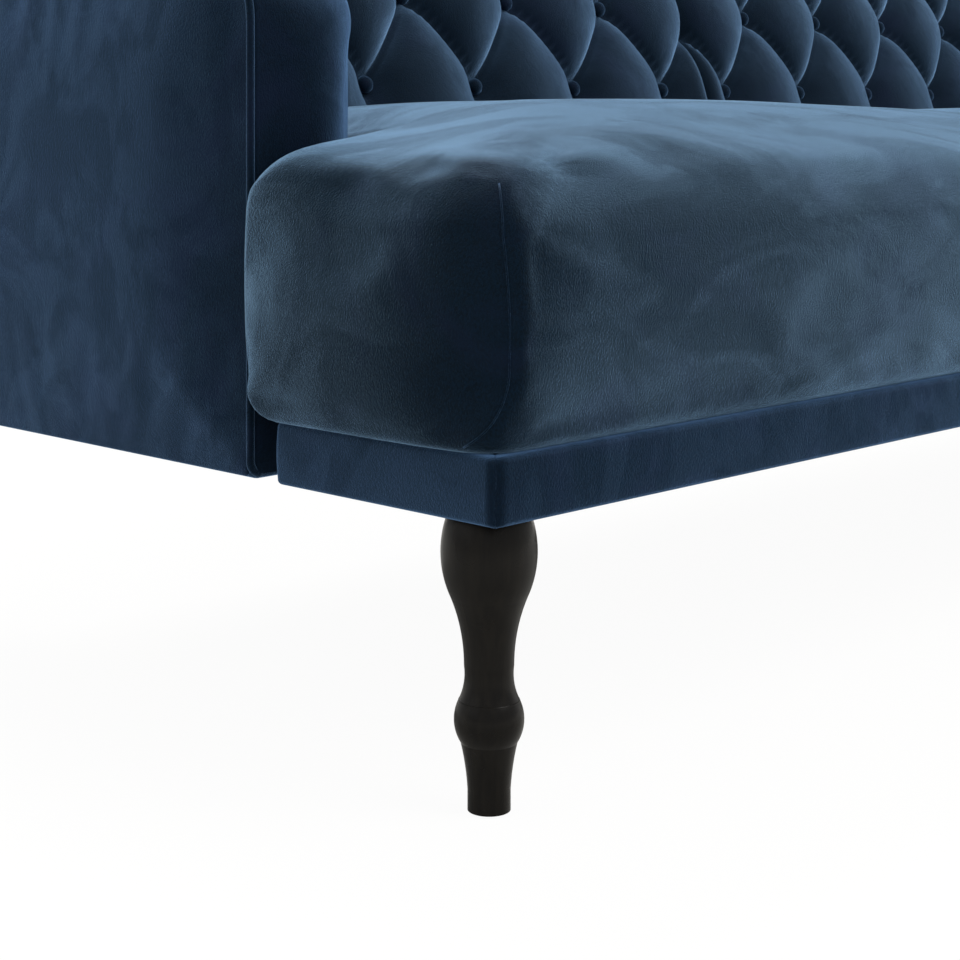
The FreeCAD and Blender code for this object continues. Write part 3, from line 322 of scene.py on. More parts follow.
def woven(name, dark, pale, threads):
    """Cloth with crossing threads, as straps and lining have."""
    graph = Graph(name)
    waves = []
    for axis in "XY":
        wave = graph.add("ShaderNodeTexWave")
        wave.bands_direction = axis
        graph.join(graph.place, wave.inputs["Vector"])
        wave.inputs["Scale"].default_value = threads
        wave.inputs["Distortion"].default_value = 0.4
        waves.append(wave.outputs["Fac"])
    weave = graph.maths("MULTIPLY", waves[0], waves[1])
    cloud = graph.noise(graph.place, 18.0, detail=4.0)
    colour = graph.mix(graph.maths("MULTIPLY", weave, cloud), dark, pale)
    graph.set(Base_Color=colour, Roughness=graph.ramp(cloud, 0.3, 0.7, bottom=0.78, top=0.95))
    graph.set(Normal=graph.bump(weave, 0.0004, strength=0.6), Sheen_Weight=0.2)
    return graph.material


def metal(name, colour, worn, roughness, metallic):
    spread = 0.08
    graph = Graph(name)
    grain = graph.noise(graph.stretched((300, 60, 300)), 1.0)
    cloud = graph.noise(graph.place, 40.0, detail=4.0)
    graph.set(Base_Color=graph.mix(graph.ramp(cloud, 0.45, 0.75), colour, worn))
    graph.set(Roughness=graph.ramp(grain, 0.3, 0.7, roughness - spread, roughness + spread))
    graph.set(Metallic=metallic, Normal=graph.bump(grain, 0.0001, strength=0.25))
    return graph.material


# Mesh building

FAR = 1e9
TINY = 1e-9
HIDDEN_SPACING = 40.0
HIDDEN_MARGIN = 20.0
CROWN_REACH = 130.0


def to_frame(points):
    placed = np.asarray(points, float).reshape(-1, 3) - (0, ORIGIN_DEPTH, 0)
    return placed * MM


def make_piece(name, points, faces, body, material, slot, replaced=()):
    data = bpy.data.meshes.new(name)
    data.from_pydata(to_frame(points).tolist(), [], faces)
    data.validate()
    data.polygons.foreach_set("use_smooth", [True] * len(data.polygons))
    data.materials.append(material)
    piece = bpy.data.objects.new(name, data)
    bpy.context.scene.collection.objects.link(piece)
    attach(piece, body)
    if replaced:
        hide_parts(*replaced)
    return piece


def ring_faces(count, rings, start=0, closed=True):
    """Quads between consecutive rings of equally many points."""
    faces = []
    last = count if closed else count - 1
    for ring in range(rings - 1):
        low = start + ring * count
        high = low + count
        for index in range(last):
            after = (index + 1) % count
            faces.append((low + index, low + after, high + after, high + index))
    return faces


def flipped(faces):
    """Faces that look the other way."""
    return [tuple(reversed(face)) for face in faces]


def skin(rings):
    """A mesh through closed rings, and how many points a ring has."""
    count = len(rings[0])
    return np.vstack(rings), ring_faces(count, len(rings)), count


def on_side(side, points, faces):
    """A mesh that is built on the right, or its mirror on the left."""
    if side == "right":
        return points, faces
    return np.asarray(points, float) * (-1, 1, 1), flipped(faces)


def edge_distance(places, outline):
    """How far places lie from a closed outline."""
    nearest = np.full(len(places), FAR)
    for start, end in zip(outline, np.roll(outline, -1, axis=0)):
        edge = end - start
        share = np.clip(((places - start) @ edge) / max(edge @ edge, TINY), 0, 1)
        nearest = np.minimum(nearest, np.linalg.norm(places - start - share[:, None] * edge, axis=1))
    return nearest


def crown_share(places, outline):
    """From 0 at the outline to 1 well inside it."""
    return 1 - np.clip(1 - edge_distance(places, outline) / CROWN_REACH, 0, 1) ** 2.5


def fill(outline, spacing, margin):
    """Triangles inside a closed outline, with a grid of inner points. Returns the inner points and faces."""
    outline = np.asarray(outline, float)[:, :2]
    low = outline.min(0) + spacing / 2
    high = outline.max(0)
    columns = np.arange(low[0], high[0], spacing)
    rows = np.arange(low[1], high[1], spacing)
    grid = np.array([(x, y) for x in columns for y in rows])
    inside = np.zeros(len(grid), bool)
    for start, end in zip(outline, np.roll(outline, -1, axis=0)):
        crosses = (start[1] > grid[:, 1]) != (end[1] > grid[:, 1])
        rise = end[1] - start[1] if end[1] != start[1] else TINY
        reach = (end[0] - start[0]) * (grid[:, 1] - start[1]) / rise + start[0]
        inside ^= crosses & (grid[:, 0] < reach)
    kept = grid[inside & (edge_distance(grid, outline) > margin)]
    places = [Vector(point) for point in outline] + [Vector(point) for point in kept]
    loop = list(range(len(outline)))
    result = delaunay_2d_cdt(places, [], [loop], 1, 1e-4)
    faces = [tuple(result[3][index][0] for index in face) for face in result[2]]
    return kept, faces


def add_cap(points, faces, first, count, inner, cap, flip=False):
    """A mesh with a ring of count points from first on closed by inner points and the faces of a cap."""
    offset = len(points) - count
    added = [tuple(first + i if i < count else offset + i for i in face) for face in cap]
    return np.vstack([points, inner]), faces + (flipped(added) if flip else added)


def rounded_outline(corners, radii, edge_counts, arc_count):
    """Points round a square-cornered outline, always equally many on each arc and edge."""
    corners = [np.asarray(corner, float) for corner in corners]
    total = len(corners)
    arcs = []
    for index, corner in enumerate(corners):
        before = corners[index - 1] - corner
        after = corners[(index + 1) % total] - corner
        before /= np.linalg.norm(before)
        after /= np.linalg.norm(after)
        radius = radii[index]
        centre = corner + (before + after) * radius
        turns = np.linspace(0, math.pi / 2, arc_count)
        arcs.append([centre - after * radius * math.cos(t) - before * radius * math.sin(t) for t in turns])
    points = []
    for index, arc in enumerate(arcs):
        points += arc
        goal = arcs[(index + 1) % total][0]
        count = edge_counts[index]
        for step in range(1, count + 1):
            points.append(arc[-1] + (goal - arc[-1]) * step / (count + 1))
    return np.array(points)


def round_in(distance, height, depth):
    """How far a rounded edge of that height and depth draws in, at a distance from the edge's end."""
    share = np.clip(1 - np.asarray(distance, float) / height, 0, 1)
    return depth * (1 - np.sqrt(1 - share ** 2))


def smooth(points, values, at):
    """A smooth curve through a few values."""
    points = np.asarray(points, float)
    values = np.asarray(values, float)
    at = np.clip(np.asarray(at, float), points[0], points[-1])
    index = np.clip(np.searchsorted(points, at) - 1, 0, len(points) - 2)
    slopes = np.gradient(values, points)
    width = points[index + 1] - points[index]
    t = (at - points[index]) / width
    first = (2 * t ** 3 - 3 * t ** 2 + 1) * values[index] + (t ** 3 - 2 * t ** 2 + t) * width * slopes[index]
    second = (3 * t ** 2 - 2 * t ** 3) * values[index + 1] + (t ** 3 - t ** 2) * width * slopes[index + 1]
    return first + second


# Cloth simulation

CLOTH_QUALITY = 6
CLOTH_SLACK = 0.004
CLOTH_FRAMES = 20
SEAT_BLOW = {"inset": 1.5, "pressure": 0.06, "cap": 5.0}
ARM_PAD_BLOW = {"inset": 0.5, "pressure": 0.5, "cap": 4.0}
ARM_PANEL_BLOW = {"inset": 1.5, "pressure": 1.2, "cap": 5.0}


def inflate(points, faces, sewn, inset, pressure, cap):
    """Points of a pad whose cover is drawn in by inset and then blown out by cloth pressure.

    The cover stays where sewn is 1, and no point moves further than cap.
    """
    data = bpy.data.meshes.new("cover")
    data.from_pydata((points * MM).tolist(), [], faces)
    data.update()
    normals = np.empty(points.size)
    data.vertex_normals.foreach_get("vector", normals)
    start = points - normals.reshape(-1, 3) * (inset * (1 - sewn))[:, None]
    data.vertices.foreach_set("co", (start * MM).ravel())
    cover = bpy.data.objects.new("cover", data)
    scene = bpy.context.scene
    scene.collection.objects.link(cover)
    group = cover.vertex_groups.new(name="sewn")
    for index in np.flatnonzero(sewn > 0):
        group.add([int(index)], float(sewn[index]), "REPLACE")
    cloth = cover.modifiers.new("cloth", "CLOTH")
    cloth.settings.vertex_group_mass = group.name
    cloth.settings.quality = CLOTH_QUALITY
    cloth.settings.shrink_min = -CLOTH_SLACK
    cloth.settings.use_pressure = True
    cloth.settings.uniform_pressure_force = pressure
    cloth.settings.effector_weights.gravity = 0.0
    cloth.collision_settings.use_collision = False
    for step in range(1, CLOTH_FRAMES + 1):
        scene.frame_set(step)
    blown = np.empty(points.size)
    shown = cover.evaluated_get(bpy.context.evaluated_depsgraph_get())
    shown.data.vertices.foreach_get("co", blown)
    scene.frame_set(1)
    bpy.data.objects.remove(cover)
    bpy.data.meshes.remove(data)
    moved = blown.reshape(-1, 3) / MM - start
    length = np.linalg.norm(moved, axis=1)
    share = cap * np.tanh(length / cap) / np.maximum(length, TINY)
    return start + moved * share[:, None]


# Seat cushion

SEAT_BOTTOM = BASE_TOP
SEAT_SETTLE = 2.5
SETTLE_DEPTH = 14.0
SETTLE_SIDE = 801.0
SEAT_TOP_ROUND = 34.0
SEAT_LOW_ROUND = 48.0
SEAT_NOSE = 58.0
SEAT_NOMINAL_TOP = 420.0
SEAT_DROP = 57.0
CREST_DEPTH = 262.0
CREST_PLACES = (0, 230, 350, 450, 600, 700, 935)
CREST_HEIGHTS = (457, 461, 463, 463.3, 462, 461.3, 461)
END_SLOPE = 310.0
REAR_FALL = 5.0
REAR_SLOPE = 240.0
EAR_REAR = 236.5
SEAT_SIDE = 799.5
SEAT_SWING = 169.0
SEAT_TO_BACK = 21.0
SEAT_ARC = 9
SEAT_EDGE_COUNTS = (150, 18, 8, 24, 130, 24, 8, 18)
# Where the top puffs up: its place across, its depth, its rise and its reach
SEAT_PUFFS = ((905, 35, 12, 60), (915, 210, 13, 65))
# Heights and depths of the rounded edges
NOSE_EDGE = (SEAT_TOP_ROUND, SEAT_NOSE)
FRONT_LOW_EDGE = (SEAT_LOW_ROUND, 9)
END_LOW_EDGE = (12, 6)
EAR_TOP_EDGE = (18, 11)
EAR_LOW_EDGE = (22, 30)
SIDE_TOP_EDGE = (34, 30)
SIDE_LOW_EDGE = (12, 10)
REAR_LOW_EDGE = (12, 8)
PLUMP_EDGE = (18, 13)
# How far the faces stand out and swell, and the corners' radii
FRONT_OUT = 1
FRONT_SWELL = 8
END_OUT = 8.5
END_SWELL = 2
END_NOSE_SHARE = 0.95
CORNER_RADIUS = 4
CORNER_NOSE_SHARE = 0.7
CORNER_FOOT_RADIUS = 20
CORNER_FOOT = 42
EAR_RADIUS = 9
EAR_NOSE_SHARE = 0.35
EAR_FOOT_SHARE = 0.6
NECK_RADIUS = 4
REAR_RADIUS = 18
# How the sewn corners are drawn in
FOOT_EASE_SHARE = 0.3
CORNER_IN = 27
CORNER_IN_NOSE_SHARE = 0.35
CORNER_BACK = 11.5
CORNER_BACK_NOSE_SHARE = 0.4
CORNER_REACH_ACROSS = 55
CORNER_REACH_BACK = 125
EAR_REACH = 110
END_BELLY = 6
END_LENGTH = 235


def seat_top(x, y):
    """Height of the crowned top: level edges at the front and ends, two crests and a valley between."""
    x = np.abs(x)
    crest = smooth(CREST_PLACES, CREST_HEIGHTS, x)
    to_front = np.clip(1 - y / CREST_DEPTH, 0, 1) ** 2
    to_end = np.clip(1 - (HALF_WIDTH - x) / END_SLOPE, 0, 1) ** 2
    drop = SEAT_DROP * (to_front ** 4 + to_end ** 4) ** 0.25
    puff = 0
    for place_x, place_y, rise, reach in SEAT_PUFFS:
        puff = puff + rise * np.exp(-((x - place_x) ** 2 + (y - place_y) ** 2) / reach ** 2)
    rear = REAR_FALL * np.clip((y - CREST_DEPTH) / REAR_SLOPE, 0, 1) ** 2
    return crest - drop + puff - rear


def seat_rear(z):
    """Depth of the seat's rear at a height, clear of the back's face and of its swing."""
    reach = -PAD_FACE
    above = z - PIVOT_HEIGHT - reach * math.sin(RECLINE)
    face = PIVOT_DEPTH - reach * math.cos(RECLINE) + above * math.tan(RECLINE)
    rise = min(abs(z - PIVOT_HEIGHT), SEAT_SWING)
    return min(face - SEAT_TO_BACK, PIVOT_DEPTH - math.sqrt(SEAT_SWING ** 2 - rise ** 2))


def drawn_in(distance, edge):
    return float(round_in(distance, *edge))


def seat_ring(z, from_top):
    """The seat's outline in plan at one level."""
    from_bottom = z - SEAT_BOTTOM
    belly = np.clip(from_bottom / (SEAT_NOMINAL_TOP - SEAT_BOTTOM - SEAT_TOP_ROUND), 0, 1)
    swell = 4 * belly * (1 - belly)
    nose = drawn_in(from_top, NOSE_EDGE)
    end_low = drawn_in(from_bottom, END_LOW_EDGE)
    front = nose + drawn_in(from_bottom, FRONT_LOW_EDGE) - FRONT_OUT - FRONT_SWELL * swell
    end = END_NOSE_SHARE * nose + end_low - END_OUT - END_SWELL * swell
    ear = drawn_in(from_top, EAR_TOP_EDGE) + drawn_in(from_bottom, EAR_LOW_EDGE)
    side = drawn_in(from_top, SIDE_TOP_EDGE) + drawn_in(from_bottom, SIDE_LOW_EDGE)
    rear = seat_rear(z) - drawn_in(from_top, SIDE_TOP_EDGE) - drawn_in(from_bottom, REAR_LOW_EDGE)
    at_foot = max(1 - from_bottom / CORNER_FOOT, 0) ** 2
    corner = CORNER_RADIUS + CORNER_NOSE_SHARE * nose + CORNER_FOOT_RADIUS * at_foot
    ear_corner = EAR_RADIUS + EAR_NOSE_SHARE * nose + EAR_FOOT_SHARE * end_low
    x = HALF_WIDTH - end
    inner = SEAT_SIDE - side
    y = EAR_REAR - ear
    corners = [
        (-x, front), (x, front), (x, y), (inner, y),
        (inner, rear), (-inner, rear), (-inner, y), (-x, y),
    ]
    radii = [corner, corner, ear_corner, NECK_RADIUS, REAR_RADIUS, REAR_RADIUS, NECK_RADIUS, ear_corner]
    outline = rounded_outline(corners, radii, SEAT_EDGE_COUNTS, SEAT_ARC)
    rise = FOOT_EASE_SHARE + (1 - FOOT_EASE_SHARE) * min(from_bottom / CORNER_FOOT, 1)
    plump = END_NOSE_SHARE * nose - drawn_in(from_top, PLUMP_EDGE)
    return ease_corners(outline, x, front, y, nose, swell, rise, plump)


def ease_corners(outline, x, front, rear, nose, swell, rise, plump):
    """Draws the sewn front corners in, further along the ends than along the front, and swells the ends."""
    from_end = x - np.abs(outline[:, 0])
    from_front = outline[:, 1] - front
    at_end = np.clip(1 - from_end / CORNER_REACH_ACROSS, 0, 1)
    at_front = np.clip(1 - from_front / CORNER_REACH_BACK, 0, 1)
    at_rear = np.clip(1 - np.abs(rear - outline[:, 1]) / EAR_REACH, 0, 1)
    inward = (CORNER_IN * rise - CORNER_IN_NOSE_SHARE * nose) * at_front ** 3 * at_end ** 2
    back = (CORNER_BACK * rise - CORNER_BACK_NOSE_SHARE * nose) * at_end ** 3 * at_front ** 2
    out = END_BELLY * swell * np.sin(math.pi * np.clip(from_front / END_LENGTH, 0, 1)) * at_end ** 6
    out = out + plump * at_rear ** 1.5 * at_end ** 2
    eased = outline.copy()
    eased[:, 0] -= np.sign(outline[:, 0]) * (inward - out)
    eased[:, 1] += back
    return eased


LOW_LEVELS = 13
WALL_LEVELS = 13
TOP_LEVELS = 15
TOP_SPACING = 13.0
TOP_MARGIN = 7.0


def seat_levels():
    """Heights from the bottom, then shares of the wall, then distances from the top."""
    turn = math.pi / 2
    low = [("low", SEAT_LOW_ROUND * (1 - math.cos(t))) for t in np.linspace(0, turn, LOW_LEVELS)]
    wall = [("wall", w) for w in np.linspace(0, 1, WALL_LEVELS)[1:-1]]
    high = [("high", SEAT_TOP_ROUND * (1 - math.sin(t))) for t in np.linspace(0, turn, TOP_LEVELS)]
    return low + wall + high


def seat_mesh():
    rings = []
    wall_low = SEAT_BOTTOM + SEAT_LOW_ROUND
    for kind, value in seat_levels():
        if kind == "low":
            outline = seat_ring(SEAT_BOTTOM + value, FAR)
            over_border = (outline[:, 1] < SETTLE_DEPTH) | (np.abs(outline[:, 0]) > SETTLE_SIDE)
            settle = SEAT_SETTLE * (1 - value / SEAT_LOW_ROUND) * over_border
            z = SEAT_BOTTOM + value - settle
        elif kind == "wall":
            nominal = wall_low + value * (SEAT_NOMINAL_TOP - SEAT_TOP_ROUND - wall_low)
            outline = seat_ring(nominal, SEAT_NOMINAL_TOP - nominal)
            shoulder = seat_top(outline[:, 0], outline[:, 1]) - SEAT_TOP_ROUND
            z = wall_low + value * (shoulder - wall_low)
        else:
            outline = seat_ring(SEAT_NOMINAL_TOP - value, value)
            z = seat_top(outline[:, 0], outline[:, 1]) - value
        rings.append(np.column_stack([outline, z]))
    points, faces, count = skin(rings)
    inner, cap = fill(rings[-1], TOP_SPACING, TOP_MARGIN)
    top = np.column_stack([inner, seat_top(inner[:, 0], inner[:, 1])])
    points, faces = add_cap(points, faces, len(points) - count, count, top, cap)
    inner, cap = fill(rings[0], HIDDEN_SPACING, HIDDEN_MARGIN)
    bottom = np.column_stack([inner, np.full(len(inner), SEAT_BOTTOM)])
    points, faces = add_cap(points, faces, 0, count, bottom, cap, flip=True)
    seam = seam_path(rings)
    points = inflate(points, faces, seat_hold(points, seam), **SEAT_BLOW)
    return points, faces, seam


HOLD_HEIGHT = 9.0
HOLD_REACH = 16.0
SEAM_SIDE = 820.0
SEAM_DEPTH = 90.0
SEAM_RADIUS = 0.7
SEAM_SIDES = 8
SEAM_FIRST_RING = 3
SEAM_LAST_RING = -7


def seat_hold(points, seam):
    """1 where the cover is sewn or rests on the frame: at the bottom and along the corner seams."""
    sewn = np.clip(1 - (points[:, 2] - SEAT_BOTTOM) / HOLD_HEIGHT, 0, 1)
    folded = np.column_stack([-np.abs(points[:, 0]), points[:, 1:]])
    for index in np.flatnonzero((folded[:, 0] < -SEAM_SIDE) & (folded[:, 1] < SEAM_DEPTH)):
        away = np.linalg.norm(seam - folded[index], axis=1).min()
        sewn[index] = max(sewn[index], 1 - away / HOLD_REACH)
    return sewn


def seam_path(rings):
    """The front left corner's seam: up the corner to its point, and from under the end at the bottom."""
    path = []
    middle = SEAT_ARC // 2
    for ring in rings[SEAM_FIRST_RING:SEAM_LAST_RING]:
        turn = middle * max(1 - (ring[0, 2] - SEAT_BOTTOM) / CORNER_FOOT, 0) ** 2
        index = int(middle - turn)
        share = middle - turn - index
        path.append(ring[index] + share * (ring[index + 1] - ring[index]))
    return np.array(path)


def add_seat(material, seam_material):
    points, faces, seam = seat_mesh()
    piece = make_piece("seat_pad", points, faces, "seat_base", material, "velvet", ["seat_cushion"])
    for side, sign in (("left", 1), ("right", -1)):
        points, faces = tube_mesh(seam * (sign, 1, 1), SEAM_RADIUS, SEAM_SIDES)
        make_piece("seat_corner_seam_" + side, points, faces, "seat_base", seam_material, "velvet")


# Base border

BORDER = 12.0
REAR_BORDER = 6.0
BORDER_ROUND_SHARE = 0.32
BORDER_CROWN_SHARE = 0.1
BORDER_LOW_RADIUS = 3.0
BORDER_BACK_RADIUS = 1.2
BORDER_EDGE_COUNTS = (4, 8, 4, 8)
BORDER_ARC = 6
FRONT_STEPS = 160
REAR_STEPS = 120
WING_SIDE_STEPS = 24
WING_CORNER_STEPS = 9
WING_REAR_STEPS = 14
RECESS_STEPS = 6
MITRE_GAP = 0.15
WING_CORNER = 6.0
WING_REAR = WING_DEPTH + 6.0
RECESS_LAP = 1.0
RECESS_GAP = 0.8


def border_section(thickness):
    """Points round the strip's section: how far out from the back, and the height."""
    height = BASE_TOP - LEG_HEIGHT
    corners = [(0, 0), (thickness, 0), (thickness, height), (0, height)]
    rounding = BORDER_ROUND_SHARE * thickness
    radii = [BORDER_BACK_RADIUS, BORDER_LOW_RADIUS, rounding, BORDER_BACK_RADIUS]
    outline = rounded_outline(corners, radii, BORDER_EDGE_COUNTS, BORDER_ARC)
    crown = np.clip(outline[:, 0] / thickness, 0, 1) * np.sin(math.pi * outline[:, 1] / height)
    outline[:, 0] += BORDER_CROWN_SHARE * thickness * crown
    return outline


def strip_mesh(path, normals, thickness=BORDER):
    """A strip that follows a path in plan, standing out along the normals."""
    section = border_section(thickness)
    low = LEG_HEIGHT - SEAT_SETTLE
    rings = []
    for place, normal in zip(path, normals):
        rings.append(np.array([(*(place + normal * (out - thickness)), low + up) for out, up in section]))
    points, faces, count = skin(rings)
    faces = flipped(faces)
    faces.append(tuple(range(count)))
    faces.append(tuple(reversed(range(len(points) - count, len(points)))))
    return points, faces


def straight_strip(start, end, count, normal, thickness):
    """A strip between two places in plan."""
    path = [np.array(place) for place in np.linspace(start, end, count)]
    return strip_mesh(path, [np.array(normal) for _ in path], thickness)


def front_border():
    """The front strip, mitred at its ends."""
    side = HALF_WIDTH - MITRE_GAP
    path = [np.array((x, 0.0)) for x in np.linspace(-side, side, FRONT_STEPS)]
    normals = [np.array((0.0, -1.0)) for _ in path]
    normals[0] = np.array((-1.0, -1.0))
    normals[-1] = np.array((1.0, -1.0))
    return strip_mesh(path, normals)


def wing_border():
    """The right wing's strip, round its rear corner to the arm, and the narrow strip in the recess."""
    depths = np.linspace(MITRE_GAP, WING_REAR - WING_CORNER, WING_SIDE_STEPS)
    side = [np.array((HALF_WIDTH, y)) for y in depths]
    normals = [np.array((1.0, 0.0)) for _ in side]
    normals[0] = np.array((1.0, -1.0))
    centre = np.array((HALF_WIDTH - WING_CORNER, WING_REAR - WING_CORNER))
    for turn in np.linspace(0, math.pi / 2, WING_CORNER_STEPS)[1:]:
        direction = np.array((math.cos(turn), math.sin(turn)))
        side.append(centre + direction * WING_CORNER)
        normals.append(direction)
    for x in np.linspace(HALF_WIDTH - WING_CORNER, ARM_INNER, WING_REAR_STEPS)[1:]:
        side.append(np.array((x, WING_REAR)))
        normals.append(np.array((0.0, 1.0)))
    points, faces = strip_mesh(side, normals)
    x = ARM_INNER + REAR_BORDER
    start = (x, WING_REAR - RECESS_LAP)
    end = (x, ARM_FRONT - RECESS_GAP)
    more, more_faces = straight_strip(start, end, RECESS_STEPS, (1.0, 0.0), REAR_BORDER)
    faces += [tuple(len(points) + index for index in face) for face in more_faces]
    return np.vstack([points, more]), faces


def add_border(front_material, material):
    y = FRAME_DEPTH + REAR_BORDER
    rear = straight_strip((ARM_INNER, y), (-ARM_INNER, y), REAR_STEPS, (0.0, 1.0), REAR_BORDER)
    wing = wing_border()
    strips = [
        ("front_border_pad", front_border(), "border_front", front_material),
        ("rear_border_pad", rear, "border_rear", material),
        ("wing_border_pad_right", wing, "border_right", material),
        ("wing_border_pad_left", on_side("left", *wing), "border_left", material),
    ]
    for name, (points, faces), node, finish in strips:
        piece = make_piece(name, points, faces, "seat_base", finish, "velvet", [node])


# Arms, built on the right and mirrored

ARM_CORNER = 75.0
ARM_LEAST_CORNER = 12.0
ARM_FOOT_RADIUS = 5
ARM_LOW = LEG_HEIGHT - 4.0
ARM_OUTER = 925
ARM_RIM = 5
ARM_RIM_INSET = 6
ARM_ROLL = 110.0
ARM_ROLL_DEPTH = 46.0
ARM_ROLL_LIFT = 8
ARM_CROWN = 7
ARM_SPACING = 16.0
ARM_MARGIN = 8.0
ARM_SEWN_SIDE = 900
ARM_SEWN_REACH = 20
ARM_HOLD_HEIGHT = 12
# Points on each corner, along the bottom and the top, and up the front and the rear
ARM_ARC = 11
ARM_ALONG = 60
ARM_UP = 40
RIM_STEPS = 6
SIDE_STEPS = 9
ROLL_STEPS = 17
PANEL_INSET = 5.6
PANEL_LIFT = 1.5
PANEL_EDGE = 2.2
PANEL_BACK = 925.2
PANEL_FACE = 927.4
PANEL_CROWN = 16.0
PANEL_SPACING = 11.0
PANEL_MARGIN = 5.0
PANEL_HOLD_SHARE = 0.2
WELT_RADIUS = 3.0
WELT_BEND = 9.0
WELT_BEND_STEPS = 7


def arm_outline(inset, low):
    """The arm's side outline, drawn in at the front, top and rear, from a low edge."""
    front = ARM_FRONT + inset
    rear = ARM_REAR - inset
    top = ARM_TOP - inset
    corner = max(ARM_CORNER - inset, ARM_LEAST_CORNER)
    corners = [(front, low), (rear, low), (rear, top), (front, top)]
    radii = [ARM_FOOT_RADIUS, ARM_FOOT_RADIUS, corner, corner]
    return rounded_outline(corners, radii, [ARM_ALONG, ARM_UP, ARM_ALONG, ARM_UP], ARM_ARC)


def arm_levels():
    """Places across the arm, from its outer rim to its inner roll, with the inset and the lift there."""
    levels = []
    for turn in np.linspace(0, math.pi / 2, RIM_STEPS):
        draw = 1 - math.sin(turn)
        levels.append((ARM_OUTER - ARM_RIM * (1 - math.cos(turn)), ARM_RIM_INSET * draw, ARM_RIM * draw))
    for x in np.linspace(ARM_OUTER - ARM_RIM, ARM_INNER + ARM_ROLL, SIDE_STEPS)[1:]:
        levels.append((x, 0.0, 0.0))
    for turn in np.linspace(0, math.pi / 2, ROLL_STEPS)[1:]:
        draw = 1 - math.cos(turn)
        x = ARM_INNER + ARM_ROLL * (1 - math.sin(turn))
        levels.append((x, ARM_ROLL_DEPTH * draw, ARM_ROLL_LIFT * draw))
    return levels


def arm_pad_mesh():
    rings = []
    for x, inset, lift in arm_levels():
        outline = arm_outline(inset, ARM_LOW + lift)
        rings.append(np.column_stack([np.full(len(outline), x), outline]))
    points, faces, count = skin(rings)
    for ring, crown, flip in ((len(rings) - 1, ARM_CROWN, False), (0, 0, True)):
        rim = rings[ring][:, 1:]
        inner, cap = fill(rim, ARM_SPACING, ARM_MARGIN)
        side = rings[ring][0, 0] - crown_share(inner, rim) * crown
        points, faces = add_cap(points, faces, ring * count, count, np.column_stack([side, inner]), cap, flip)
    faces = flipped(faces)
    at_rim = (points[:, 0] - ARM_SEWN_SIDE) / ARM_SEWN_REACH
    at_foot = 1 - (points[:, 2] - ARM_LOW) / ARM_HOLD_HEIGHT
    sewn = np.clip(np.maximum(at_rim, at_foot), 0, 1)
    return inflate(points, faces, sewn, **ARM_PAD_BLOW), faces


def arm_panel_mesh():
    rings = []
    for turn in np.linspace(0, math.pi / 2, RIM_STEPS):
        draw = PANEL_EDGE * (1 - math.cos(turn))
        outline = arm_outline(PANEL_INSET + draw, ARM_LOW + PANEL_LIFT + draw)
        side = PANEL_BACK + PANEL_EDGE * math.sin(turn)
        rings.append(np.column_stack([np.full(len(outline), side), outline]))
    points, faces, count = skin(rings)
    edge = len(points)
    rim = rings[-1][:, 1:]
    inner, cap = fill(rim, PANEL_SPACING, PANEL_MARGIN)
    crown = PANEL_FACE + PANEL_CROWN * crown_share(inner, rim)
    points, faces = add_cap(points, faces, edge - count, count, np.column_stack([crown, inner]), cap)
    faces.append(tuple(reversed(range(count))))
    sewn = np.clip(1 - crown_share(points[:, 1:], rim) / PANEL_HOLD_SHARE, 0, 1)
    sewn[:edge] = 1
    return inflate(points, faces, sewn, **ARM_PANEL_BLOW), faces


def tube_mesh(path, radius, sides=10):
    """A round cord along a path, closed at its ends."""
    path = np.asarray(path, float)
    tangents = np.gradient(path, axis=0)
    tangents /= np.linalg.norm(tangents, axis=1)[:, None]
    side = np.array((1.0, 0.0, 0.0))
    rings = []
    for place, tangent in zip(path, tangents):
        side = side - tangent * (side @ tangent)
        side /= np.linalg.norm(side)
        up = np.cross(tangent, side)
        turns = np.linspace(0, 2 * math.pi, sides, endpoint=False)
        rings.append(np.array([place + radius * (math.cos(t) * side + math.sin(t) * up) for t in turns]))
    points, faces, _ = skin(rings)
    faces.append(tuple(reversed(range(sides))))
    faces.append(tuple(range(len(points) - sides, len(points))))
    return points, faces


def welt_path():
    outline = arm_outline(WELT_RADIUS, ARM_LOW)
    # The outline runs from the front foot along the bottom, so the cord starts at the rear foot.
    start = ARM_ARC + ARM_ALONG + ARM_ARC
    path = np.roll(outline, -start, axis=0)[:ARM_UP + ARM_ARC + ARM_ALONG + ARM_ARC + ARM_UP]
    path = np.column_stack([np.full(len(path), HALF_WIDTH - WELT_RADIUS), path])
    # At the front foot the cord turns in under the arm.
    turns = np.linspace(0, math.pi / 2, WELT_BEND_STEPS)[1:]
    tucked = [path[-1] + WELT_BEND * np.array((math.cos(t) - 1, 0, -math.sin(t))) for t in turns]
    low = tucked[-1][2] - ARM_LOW - WELT_RADIUS
    return np.vstack([path, np.array(tucked) - (0, 0, min(low, 0))])


def add_arms(pad_materials, material, welt_material):
    pad = arm_pad_mesh()
    panel = arm_panel_mesh()
    cord = tube_mesh(welt_path(), WELT_RADIUS)
    for side in ("right", "left"):
        pieces = [
            ("arm_padding_" + side, pad, "velvet", "arm_pad_" + side, pad_materials[side]),
            ("arm_outer_panel_" + side, panel, "velvet", "arm_panel_" + side, material),
            ("arm_cord_" + side, cord, "velvet_welt", "arm_welt_" + side, welt_material),
        ]
        for name, mesh, slot, node, finish in pieces:
            points, faces = on_side(side, *mesh)
            piece = make_piece(name, points, faces, "seat_base", finish, slot, [node])


# Back halves, built upright about the pivot on the right, then leant back and mirrored

